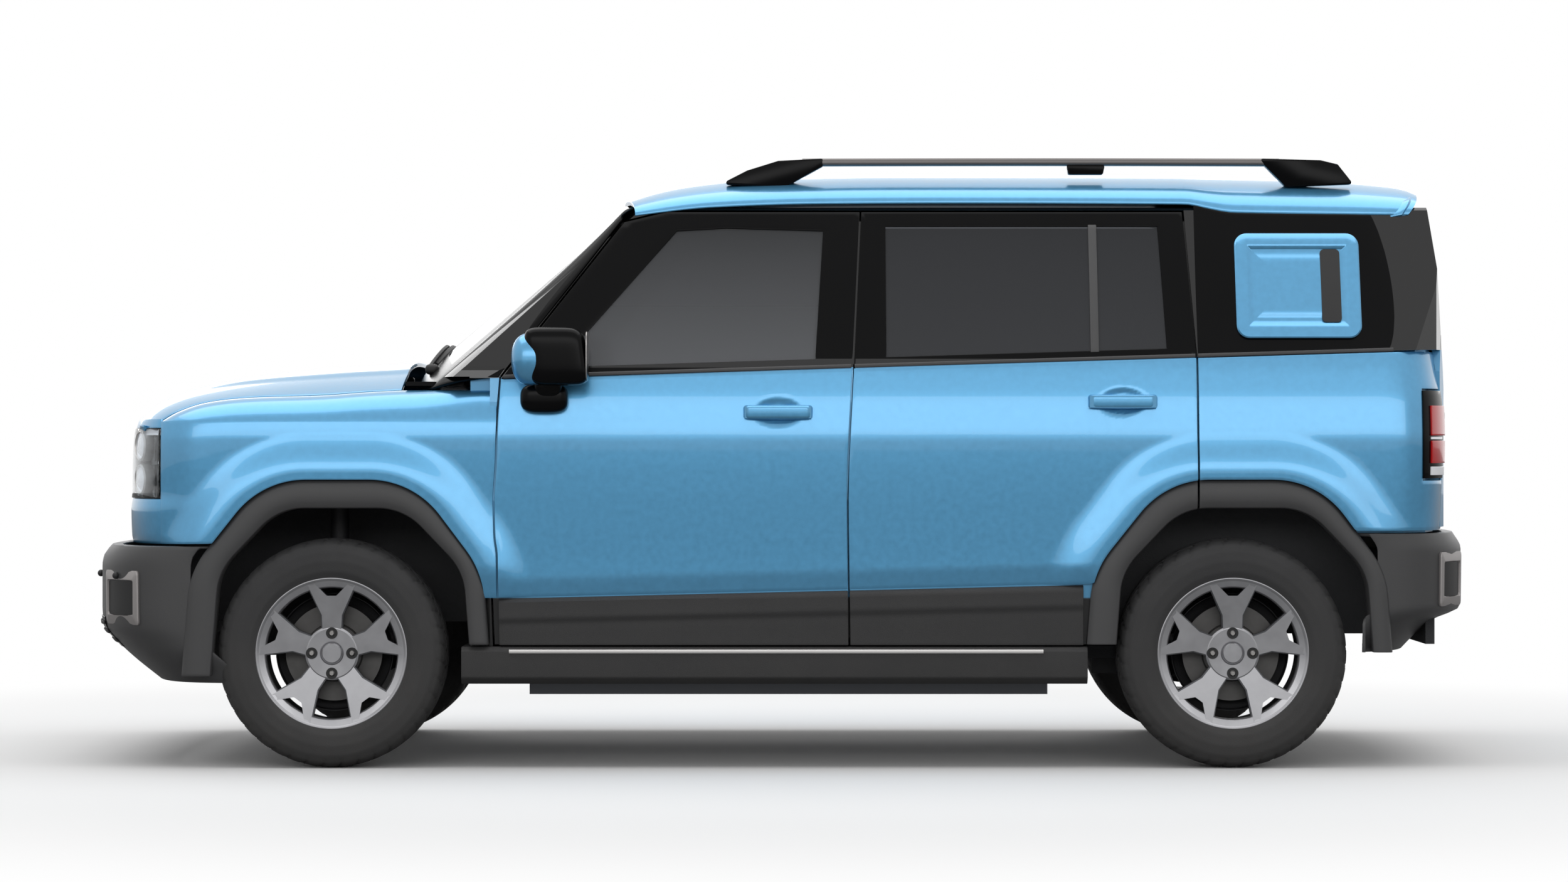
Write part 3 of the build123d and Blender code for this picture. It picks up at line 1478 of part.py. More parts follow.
for place, axle_x in (("front", front_axle_x), ("rear", rear_axle_x)):
    for side, sign in (("left", 1), ("right", -1)):
        for piece, name in ((tyre.part, "tyre"), (wheel.part, "wheel")):
            turned = piece if sign > 0 else piece.mirror(Plane.XZ)
            save(turned.moved(Location((axle_x, sign * track_half, tyre_radius))), f"{name}_{place}_{side}")

# Seats
with BuildPart() as front_seats:
    for sign in (1, -1):
        low_y = sign * seat_y - seat_width / 2
        add(block((seat_back_x + 100, low_y + 60, floor_z + floor_thick),
                  (seat_front_x - 80, low_y + seat_width - 60, seat_base_z)))
        add(block((seat_back_x, low_y, seat_base_z), (seat_front_x, low_y + seat_width, seat_top_z)))
        back = [
            (seat_back_x, seat_base_z), (seat_back_x + 40, seat_top_z),
            (seat_back_x - seat_back_lean, seat_back_top_z),
            (seat_back_x - seat_back_lean - seat_back_thick, seat_back_top_z),
            (seat_back_x - seat_back_thick, seat_base_z),
        ]
        add(side_prism(back, low_y, low_y + seat_width))
        add(block((seat_back_x - seat_back_lean - seat_back_thick, sign * seat_y - headrest_width / 2, seat_back_top_z),
                  (seat_back_x - seat_back_lean - seat_back_thick + headrest_thick,
                   sign * seat_y + headrest_width / 2, headrest_top_z)))
save(front_seats.part, "front_seats")
with BuildPart() as rear_seat:
    add(block((rear_seat_back_x + 30, -rear_seat_half, floor_z + floor_thick),
              (rear_seat_front_x - 60, rear_seat_half, seat_base_z)))
    add(block((rear_seat_back_x + 30, -rear_seat_half, seat_base_z), (rear_seat_front_x, rear_seat_half, seat_top_z)))
    back = [
        (rear_seat_back_x - 40, cargo_floor_z + floor_thick), (rear_seat_back_x + 40, cargo_floor_z + floor_thick),
        (rear_seat_back_x - seat_back_lean + 60, seat_back_top_z),
        (rear_seat_back_x - seat_back_lean - 50, seat_back_top_z),
    ]
    add(side_prism(back, -rear_seat_half, rear_seat_half))
    for y in (-seat_y, seat_y):
        add(block((rear_seat_back_x - seat_back_lean - 40, y - headrest_width / 2, seat_back_top_z),
                  (rear_seat_back_x - seat_back_lean + 40, y + headrest_width / 2, seat_back_top_z + 160)))
save(rear_seat.part, "rear_seat")

# Dashboard with the bore of the steering column, and the steering wheel
dash_outline = [
    (dash_rear_x + 60, 770), (dash_rear_x, 880), (dash_rear_x + 20, 1050), (dash_rear_x + 110, 1104),
    (bulkhead_x, 1104), (bulkhead_x, 800),
]
steer_axis = Vector(-cos(radians(steer_tilt)), 0, sin(radians(steer_tilt)))
steer_centre = Vector(steer_x, seat_y, steer_z)
steer_plane = Plane(origin=steer_centre, x_dir=(0, 1, 0), z_dir=steer_axis)
with BuildPart() as dashboard:
    add(side_prism(dash_outline, -dash_half, dash_half))
    with BuildSketch(steer_plane.offset(-column_length - 10)):
        Circle(column_radius + running_gap)
    extrude(amount=column_length, mode=Mode.SUBTRACT)
save(dashboard.part, "dashboard")
with BuildPart() as steering_wheel:
    with BuildSketch(Plane(origin=steer_centre, x_dir=steer_axis, z_dir=(0, 1, 0))):
        with Locations((0, steer_radius)):
            Circle(steer_grip)
    revolve(axis=Axis(steer_centre, steer_axis))
    with BuildSketch(steer_plane.offset(-40)):
        Circle(62)
    extrude(amount=50)
    with BuildSketch(steer_plane.offset(-12)):
        Rectangle(2 * steer_radius, 34)
        with Locations(Rot(0, 0, 90) * Pos(-steer_radius / 2, 0)):
            Rectangle(steer_radius, 40)
    extrude(amount=16)
    with BuildSketch(steer_plane.offset(-column_length)):
        Circle(column_radius)
    extrude(amount=column_length - 20)
save(steering_wheel.part, "steering_wheel")

# Blank plates on the bumpers
with BuildPart() as plates:
    add(block((nose_x, -plate_length / 2, bumper_face_z + 30), (nose_x + plate_thick, plate_length / 2, bumper_face_z + 30 + plate_height)))
    add(block((tail_x - plate_thick, -plate_length / 2, rear_bumper_face_z + 10),
              (tail_x, plate_length / 2, rear_bumper_face_z + 10 + plate_height)))
save(plates.part, "plates")
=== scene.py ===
"""Compact sport utility vehicle: its visible surfaces, finishes, lights and camera.

Lengths are metres in the vehicle's own frame: +X to the nose, +Y to the left side, +Z up.
"""

import logging
from collections.abc import Callable
from dataclasses import dataclass, field
from math import cos, pi, radians, sin

import bmesh
import bpy
import numpy as np
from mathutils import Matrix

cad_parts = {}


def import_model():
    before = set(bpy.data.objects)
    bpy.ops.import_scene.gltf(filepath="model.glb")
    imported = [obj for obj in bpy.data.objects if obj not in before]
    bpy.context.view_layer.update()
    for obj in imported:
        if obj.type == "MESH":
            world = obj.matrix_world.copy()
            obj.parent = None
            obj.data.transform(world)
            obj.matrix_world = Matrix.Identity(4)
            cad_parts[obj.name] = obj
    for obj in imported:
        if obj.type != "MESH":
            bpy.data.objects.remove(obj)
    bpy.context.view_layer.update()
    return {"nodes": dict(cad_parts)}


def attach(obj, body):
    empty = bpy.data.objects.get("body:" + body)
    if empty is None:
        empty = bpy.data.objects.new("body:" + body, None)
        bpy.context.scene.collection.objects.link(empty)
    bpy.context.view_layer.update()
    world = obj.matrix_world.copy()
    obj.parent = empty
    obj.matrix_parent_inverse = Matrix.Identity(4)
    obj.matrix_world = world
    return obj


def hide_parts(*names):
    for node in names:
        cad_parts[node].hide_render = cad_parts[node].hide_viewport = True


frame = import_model()

Array = np.ndarray
Place = tuple[float, float, float]
Curve = Callable[[Array], Array]
Surface = Callable[[Array, Array], Array]
Feed = bpy.types.NodeSocket | tuple | float

LOG = logging.getLogger("vehicle")
SIDES = {"left": 1.0, "right": -1.0}
ENDS = ("front", "rear")

# Half of the seam between two panels, and how far the glasshouse and the hood stand off the CAD's lines
GAP = 0.0026
PROUD = 0.002


# Curves and grids

def smooth_curve(at: Array | float, knots: list[float], values: list[float]) -> Array:
    """Monotone cubic through the knots: Hermite spans whose slopes are harmonic means.

    Args:
        at: Places to work the curve out at; outside the knots the end value holds.
        knots: Rising places of the known values.
        values: The known values.

    Returns:
        The curve's values at those places.
    """
    places, known = np.asarray(knots, float), np.asarray(values, float)
    step = np.diff(places)
    slope = np.diff(known) / step
    product = slope[:-1] * slope[1:]
    total = np.where(np.abs(slope[:-1] + slope[1:]) < 1e-9, 1.0, slope[:-1] + slope[1:])
    tangent = np.concatenate([[slope[0]], np.where(product > 0, 2 * product / total, 0.0), [slope[-1]]])
    at = np.clip(np.asarray(at, float), places[0], places[-1])
    span = np.clip(np.searchsorted(places, at) - 1, 0, len(places) - 2)
    t = (at - places[span]) / step[span]
    rise = known[span + 1] - known[span]
    start, end = tangent[span] * step[span], tangent[span + 1] * step[span]
    return known[span] + t * start + t**2 * (3 * rise - 2 * start - end) + t**3 * (start + end - 2 * rise)


def smooth_step(value: Array) -> Array:
    """Rises from 0 to 1 as the value goes from 0 to 1, level at both ends."""
    t = np.clip(value, 0.0, 1.0)
    return t * t * (3 - 2 * t)


def resample(points: Array, count: int) -> Array:
    """Evenly spaced points along a polyline, by its length."""
    points = np.asarray(points, float)
    length = np.concatenate([[0.0], np.cumsum(np.linalg.norm(np.diff(points, axis=0), axis=1))])
    at = np.linspace(0.0, length[-1], count)
    return np.stack([np.interp(at, length, column) for column in points.T], axis=1)


def rounded(points: list, radii: float | list[float], steps: int = 8, closed: bool = False) -> Array:
    """Polyline with its corners rounded by circular arcs.

    Args:
        points: Corners, in two or three dimensions.
        radii: One radius for all corners, or one for each corner.
        steps: Spans in each arc.
        closed: Whether the last corner joins the first.

    Returns:
        The rounded line's points; each arc turns its start spoke towards its end spoke.
    """
    corners = np.asarray(points, float)
    count = len(corners)
    sizes = np.full(count, radii) if np.isscalar(radii) else np.asarray(radii, float)
    line = []
    for index, corner in enumerate(corners):
        if not closed and index in (0, count - 1):
            line.append(corner[None])
            continue
        back, ahead = corners[index - 1] - corner, corners[(index + 1) % count] - corner
        back_length, ahead_length = np.linalg.norm(back), np.linalg.norm(ahead)
        back, ahead = back / back_length, ahead / ahead_length
        half = np.arccos(np.clip(back @ ahead, -1, 1)) / 2
        if half > pi / 2 - 0.01 or sizes[index] <= 0:
            line.append(corner[None])
            continue
        reach = min(sizes[index] / np.tan(half), 0.49 * back_length, 0.49 * ahead_length)
        radius = reach * np.tan(half)
        middle = corner + (back + ahead) / np.linalg.norm(back + ahead) * radius / np.sin(half)
        start, end = corner + back * reach - middle, corner + ahead * reach - middle
        turn = pi - 2 * half
        share = np.linspace(0, 1, steps + 1)[:, None]
        line.append(middle + (np.sin((1 - share) * turn) * start + np.sin(share * turn) * end) / np.sin(turn))
    return np.concatenate(line)


def coons(bottom: Array, top: Array, left: Array, right: Array, rows: int, columns: int) -> Array:
    """Surface that blends four border lines: the two rulings added, less the corners' bilinear sheet."""
    bottom, top = resample(bottom, columns), resample(top, columns)
    left, right = resample(left, rows), resample(right, rows)
    u = np.linspace(0, 1, columns)[None, :, None]
    v = np.linspace(0, 1, rows)[:, None, None]
    ruled = (1 - v) * bottom[None] + v * top[None] + (1 - u) * left[:, None] + u * right[:, None]
    corners = ((1 - v) * ((1 - u) * bottom[0] + u * bottom[-1]) + v * ((1 - u) * top[0] + u * top[-1]))
    return ruled - corners


def ruled(first: Array, second: Array, shares: Array) -> Array:
    """Sheet of straight lines between two lines of as many points."""
    return first[None] + (second - first)[None] * np.asarray(shares)[:, None, None]


def frames_along(path: Array, up: Place) -> tuple[Array, Array]:
    """Side and upper directions along a path; the side is the tangent crossed with up."""
    tangent = np.gradient(path, axis=0)
    tangent /= np.linalg.norm(tangent, axis=1)[:, None]
    side = np.cross(tangent, np.asarray(up, float))
    side /= np.linalg.norm(side, axis=1)[:, None]
    return side, np.cross(side, tangent)


def sweep(profile: Array, path: Array, up: Place) -> Array:
    """Profile carried along a path: each point adds its two offsets along the side and upper directions."""
    side, upper = frames_along(path, up)
    return path[:, None] + profile[None, :, :1] * side[:, None] + profile[None, :, 1:] * upper[:, None]


def rounded_section(width: float, height: float, radius: float, steps: int = 4) -> Array:
    """Closed rounded rectangle about the origin, with its first point repeated at the end."""
    w, h = width / 2, height / 2
    loop = rounded([(-w, -h), (w, -h), (w, h), (-w, h)], radius, steps, closed=True)
    return np.concatenate([loop, loop[:1]])


def lathe(profile: Array, centre: Place, segments: int) -> Array:
    """Profile of (radius, offset) turned about a line along Y: x and z follow the cosine and sine."""
    angle = np.linspace(0, 2 * pi, segments + 1)[:, None]
    radius, offset = profile[None, :, 0], profile[None, :, 1]
    x = centre[0] + radius * np.cos(angle)
    z = centre[2] + radius * np.sin(angle)
    return np.stack([x, np.broadcast_to(centre[1] + offset, x.shape), z], axis=2)


def placed(grid: Array, sign: float) -> Array:
    """Grid on the left side, or its mirror image for a sign of -1."""
    return grid * np.array([1.0, sign, 1.0])


# Finishes

def linear(colour: tuple[int, int, int]) -> tuple[float, float, float, float]:
    """Linear colour of an sRGB one given in steps of 255."""
    share = np.asarray(colour, float) / 255
    value = np.where(share <= 0.04045, share / 12.92, ((share + 0.055) / 1.055) ** 2.4)
    return (*[float(v) for v in value], 1.0)


class Tree:
    """Short way to place and join nodes in a material or a group."""

    def __init__(self, tree: bpy.types.NodeTree) -> None:
        """Keeps the tree that the nodes go into."""
        self.tree = tree

    def node(self, kind: str, **values: object) -> bpy.types.Node:
        """New node; plain settings are given by name, and sockets by name with _ for a space."""
        node = self.tree.nodes.new(kind)
        for name, value in values.items():
            if hasattr(node, name):
                setattr(node, name, value)
            else:
                self.feed(node.inputs[name.replace("_", " ")], value)
        return node

    def feed(self, socket: bpy.types.NodeSocket, value: Feed) -> None:
        """Joins an output to a socket, or sets its plain value."""
        if isinstance(value, bpy.types.NodeSocket):
            self.tree.links.new(value, socket)
        else:
            socket.default_value = value

    def maths(self, operation: str, first: Feed, second: Feed, clamp: bool = False) -> bpy.types.NodeSocket:
        """Output of a Math node."""
        node = self.node("ShaderNodeMath", operation=operation, use_clamp=clamp)
        self.feed(node.inputs[0], first)
        self.feed(node.inputs[1], second)
        return node.outputs[0]

    def blend(self, factor: Feed, first: Feed, second: Feed) -> bpy.types.NodeSocket:
        """Output of a colour Mix node."""
        node = self.node("ShaderNodeMix", data_type="RGBA")
        self.feed(node.inputs[0], factor)
        self.feed(node.inputs[6], first)
        self.feed(node.inputs[7], second)
        return node.outputs[2]


def group_of(name: str, inputs: dict[str, float], outputs: list[str]) -> tuple[bpy.types.NodeTree, Tree]:
    """Empty node group with number inputs and outputs."""
    group = bpy.data.node_groups.new(name, "ShaderNodeTree")
    for socket, value in inputs.items():
        made = group.interface.new_socket(socket, in_out="INPUT", socket_type="NodeSocketFloat")
        made.default_value = value
    for socket in outputs:
        group.interface.new_socket(socket, in_out="OUTPUT", socket_type="NodeSocketFloat")
    return group, Tree(group)


def tone_group() -> bpy.types.NodeTree:
    """Soft patches: noise of the given scale, stretched to the whole range of 0 to 1."""
    if "soft tone" in bpy.data.node_groups:
        return bpy.data.node_groups["soft tone"]
    group, tree = group_of("soft tone", {"Scale": 4.0}, ["Tone"])
    start, end = tree.node("NodeGroupInput"), tree.node("NodeGroupOutput")
    place = tree.node("ShaderNodeTexCoord")
    noise = tree.node("ShaderNodeTexNoise", Vector=place.outputs["Object"], Scale=start.outputs["Scale"],
                      Detail=3.0)
    spread = tree.node("ShaderNodeMapRange", Value=noise.outputs["Fac"])
    spread.inputs["From Min"].default_value = 0.3
    spread.inputs["From Max"].default_value = 0.7
    tree.feed(end.inputs["Tone"], spread.outputs["Result"])
    return group


def grain_group() -> bpy.types.NodeTree:
    """Moulded grain: cells of a Voronoi pattern softened by fine noise."""
    if "moulded grain" in bpy.data.node_groups:
        return bpy.data.node_groups["moulded grain"]
    group, tree = group_of("moulded grain", {"Scale": 400.0}, ["Height"])
    start, end = tree.node("NodeGroupInput"), tree.node("NodeGroupOutput")
    place = tree.node("ShaderNodeTexCoord")
    cells = tree.node("ShaderNodeTexVoronoi", Vector=place.outputs["Object"], Scale=start.outputs["Scale"])
    noise = tree.node("ShaderNodeTexNoise", Vector=place.outputs["Object"], Scale=start.outputs["Scale"],
                      Detail=2.0)
    height = tree.maths("MULTIPLY", cells.outputs["Distance"], noise.outputs["Fac"])
    tree.feed(end.inputs["Height"], height)
    return group


def dust_group() -> bpy.types.NodeTree:
    """Road dust: a mask that thickens towards the ground, broken up by noise."""
    if "road dust" in bpy.data.node_groups:
        return bpy.data.node_groups["road dust"]
    group, tree = group_of("road dust", {"Reach": 0.6}, ["Mask"])
    start, end = tree.node("NodeGroupInput"), tree.node("NodeGroupOutput")
    place = tree.node("ShaderNodeTexCoord")
    parts = tree.node("ShaderNodeSeparateXYZ", Vector=place.outputs["Object"])
    noise = tree.node("ShaderNodeTexNoise", Vector=place.outputs["Object"], Scale=9.0, Detail=5.0)
    low = tree.maths("DIVIDE", parts.outputs["Z"], start.outputs["Reach"])
    clear = tree.maths("SUBTRACT", 1.0, low, clamp=True)
    tree.feed(end.inputs["Mask"], tree.maths("MULTIPLY", clear, noise.outputs["Fac"]))
    return group


@dataclass(frozen=True)
class Finish:
    """One surface finish: its colour, gloss, grain and how they vary."""

    name: str
    colour: tuple[int, int, int]
    roughness: float
    metallic: float = 0.0
    coat: float = 0.0
    coat_roughness: float = 0.03
    grain: float = 0.0
    grain_scale: float = 500.0
    tone: float = 0.05
    tone_scale: float = 3.0
    dust: float = 0.0
    transmission: float = 0.0
    ior: float = 1.5
    glow: float = 0.0
    upper: tuple[int, int, int] | None = None
    # Colour low on a pane, fading into the darker main colour higher up: painted shading, lighter low down
    # and darker towards the top
    lower: tuple[int, int, int] | None = None

    def material(self) -> bpy.types.Material:
        """Material of this finish, made once.

        Returns:
            A Principled surface: tone patches move the colour and roughness a little, dust
            lightens what is low, painted shading makes a pane lighter low down and darker up high,
            and grain goes into the bump.
        """
        if self.name in bpy.data.materials:
            return bpy.data.materials[self.name]
        material = bpy.data.materials.new(self.name)
        material.use_nodes = True
        tree = Tree(material.node_tree)
        shader = material.node_tree.nodes["Principled BSDF"]
        for socket, value in (
            ("Metallic", self.metallic), ("IOR", self.ior), ("Coat Weight", self.coat),
            ("Coat Roughness", self.coat_roughness), ("Transmission Weight", self.transmission),
        ):
            shader.inputs[socket].default_value = value
        colour = np.array(linear(self.colour))
        tone = tree.node("ShaderNodeGroup", node_tree=tone_group(), Scale=self.tone_scale).outputs["Tone"]
        dark, light = colour * (1 - self.tone), np.minimum(colour * (1 + self.tone), 1.0)
        paint = tree.blend(tone, (*dark[:3], 1.0), (*light[:3], 1.0))
        rough = tree.node("ShaderNodeMapRange", Value=tone)
        rough.inputs["To Min"].default_value = self.roughness * 0.92
        rough.inputs["To Max"].default_value = min(self.roughness * 1.08, 1.0)
        roughness = rough.outputs["Result"]
        if self.upper is not None:
            above = self.above_belt(tree)
            paint = tree.blend(above, paint, linear(self.upper))
            glossier = tree.maths("SUBTRACT", 1.0, tree.maths("MULTIPLY", above, GLOSS_ABOVE))
            roughness = tree.maths("MULTIPLY", roughness, glossier)
            paint = tree.blend(self.between_heights(tree, *SILL_HEIGHTS), linear(SILL_COLOUR), paint)
        # Painted shading on the panes: the lower colour below the pane heights, fading to the darker main
        # colour above them
        if self.lower is not None:
            paint = tree.blend(self.between_heights(tree, *PANE_PAINTED_SHADE_HEIGHTS), linear(self.lower), paint)
        if self.dust > 0:
            mask = tree.node("ShaderNodeGroup", node_tree=dust_group()).outputs["Mask"]
            share = tree.maths("MULTIPLY", mask, self.dust)
            paint = tree.blend(share, paint, linear(DUST_COLOUR))
        tree.feed(shader.inputs["Base Color"], paint)
        tree.feed(shader.inputs["Roughness"], roughness)
        if self.grain > 0:
            height = tree.node("ShaderNodeGroup", node_tree=grain_group(), Scale=self.grain_scale)
            bump = tree.node("ShaderNodeBump", Distance=self.grain, Height=height.outputs["Height"])
            tree.feed(shader.inputs["Normal"], bump.outputs["Normal"])
        if self.glow > 0:
            tree.feed(shader.inputs["Emission Color"], paint)
            shader.inputs["Emission Strength"].default_value = self.glow
        return material

    @staticmethod
    def between_heights(tree: Tree, low: float, high: float) -> bpy.types.NodeSocket:
        """Mask that rises from 0 to 1 between two heights."""
        place = tree.node("ShaderNodeTexCoord")
        parts = tree.node("ShaderNodeSeparateXYZ", Vector=place.outputs["Object"])
        spread = tree.node("ShaderNodeMapRange", Value=parts.outputs["Z"])
        spread.inputs["From Min"].default_value = low
        spread.inputs["From Max"].default_value = high
        return spread.outputs["Result"]

    @staticmethod
    def above_belt(tree: Tree) -> bpy.types.NodeSocket:
        """Mask that is 1 over the belt line, which rises along -X."""
        place = tree.node("ShaderNodeTexCoord")
        parts = tree.node("ShaderNodeSeparateXYZ", Vector=place.outputs["Object"])
        line = tree.maths("MULTIPLY", parts.outputs["X"], BELT_RISE)
        level = tree.maths("ADD", parts.outputs["Z"], line)
        return tree.maths("GREATER_THAN", level, BELT_Z + BELT_X * BELT_RISE)


# The belt line: a height, where along X it has that height, and its rise for each metre towards the tail
BELT_X, BELT_Z, BELT_RISE = 0.548, 1.116, 0.0306

# Heights between which a finish changes, and what it changes to; on the panes this change is painted shading,
# lighter low down and darker towards the top
SILL_HEIGHTS = (0.482, 0.486)
PANE_PAINTED_SHADE_HEIGHTS = (1.14, 1.54)
SILL_COLOUR = (30, 30, 31)
DUST_COLOUR = (128, 122, 112)
GLOSS_ABOVE = 0.6

PAINT = Finish("blue paint", (88, 160, 204), 0.30, metallic=0.62, coat=0.7, tone=0.03, tone_scale=60.0)
DOOR_PAINT = Finish("blue paint, black above", (88, 160, 204), 0.30, metallic=0.3, coat=0.4, tone=0.02,
                    upper=(12, 12, 13))
PIANO = Finish("gloss black", (7, 7, 8), 0.22, ior=1.2, tone=0.1)
CLADDING = Finish("grained cladding", (40, 40, 41), 0.60, grain=0.0006, grain_scale=900.0, tone=0.08,
                  dust=0.10)
TRIM_EDGE = Finish("smooth dark trim", (66, 66, 67), 0.46, grain=0.0003, grain_scale=900.0, tone=0.06)
SILVER = Finish("silver trim", (206, 204, 202), 0.40, metallic=0.6, tone=0.04)
RAIL_SILVER = Finish("satin rail", (104, 101, 100), 0.38, metallic=0.7, tone=0.05)
HOOP = Finish("silver grey insert", (158, 154, 153), 0.42, metallic=0.4, tone=0.05)
# The panes' lower colours are painted shading: lighter low on the glass, darker towards the top
GLASS = Finish("tinted glass", (84, 86, 89), 0.03, transmission=0.55, ior=1.3, tone=0.01,
               lower=(138, 140, 144))
PRIVACY = Finish("privacy glass", (66, 68, 72), 0.03, transmission=0.5, ior=1.3, tone=0.01,
                 lower=(84, 86, 90))
SCREEN = Finish("screen glass", (48, 50, 53), 0.04, transmission=0.6, ior=1.12, tone=0.01)
CLEAR = Finish("clear cover", (235, 240, 244), 0.02, transmission=1.0, ior=1.4, tone=0.01)
RED = Finish("red lens", (190, 26, 30), 0.12, coat=0.5, tone=0.08, glow=0.12)
WHITE_LENS = Finish("white lens", (226, 228, 232), 0.18, coat=0.4, tone=0.04, glow=0.25)
RUBBER = Finish("tyre rubber", (52, 52, 53), 0.72, grain=0.0004, grain_scale=700.0, tone=0.1,
                tone_scale=12.0, dust=0.12)
SEAL = Finish("seal rubber", (20, 20, 21), 0.6, tone=0.1)
ALLOY = Finish("machined alloy", (158, 158, 161), 0.32, metallic=0.75, coat=0.4, tone=0.05, tone_scale=25.0)
ALLOY_DARK = Finish("dark alloy", (84, 85, 88), 0.42, metallic=0.6, tone=0.06)
# Near-black inside of the rim's barrel: painted shade, for the shade deep inside the wheel
BARREL_PAINTED_SHADE = Finish("barrel painted shade", (20, 20, 21), 0.7, tone=0.1)
STEEL = Finish("brushed steel", (150, 148, 146), 0.35, metallic=1.0, tone=0.12, tone_scale=40.0)
DISC_IRON = Finish("brake iron", (86, 85, 84), 0.5, metallic=0.7, tone=0.14, tone_scale=30.0)
IRON = Finish("coated iron", (34, 34, 36), 0.6, metallic=0.3, grain=0.0004, grain_scale=350.0, tone=0.15)
UNDERSEAL = Finish("sealed floor", (40, 41, 44), 0.65, grain=0.0008, grain_scale=260.0, tone=0.12)
BATTERY = Finish("battery casing", (96, 98, 102), 0.45, metallic=0.6, tone=0.08)
LEATHER = Finish("seat leather", (38, 38, 41), 0.5, grain=0.0008, grain_scale=450.0, tone=0.08)
SOFT_TRIM = Finish("soft trim", (44, 45, 48), 0.62, grain=0.0005, grain_scale=650.0, tone=0.08)
PLATE = Finish("blank plate", (206, 206, 202), 0.42, tone=0.03)


# Pieces

CAR_MIDDLE = (0.0, 0.0, 0.8)
WELD = 0.00005
RIM_ANGLE = 50.0


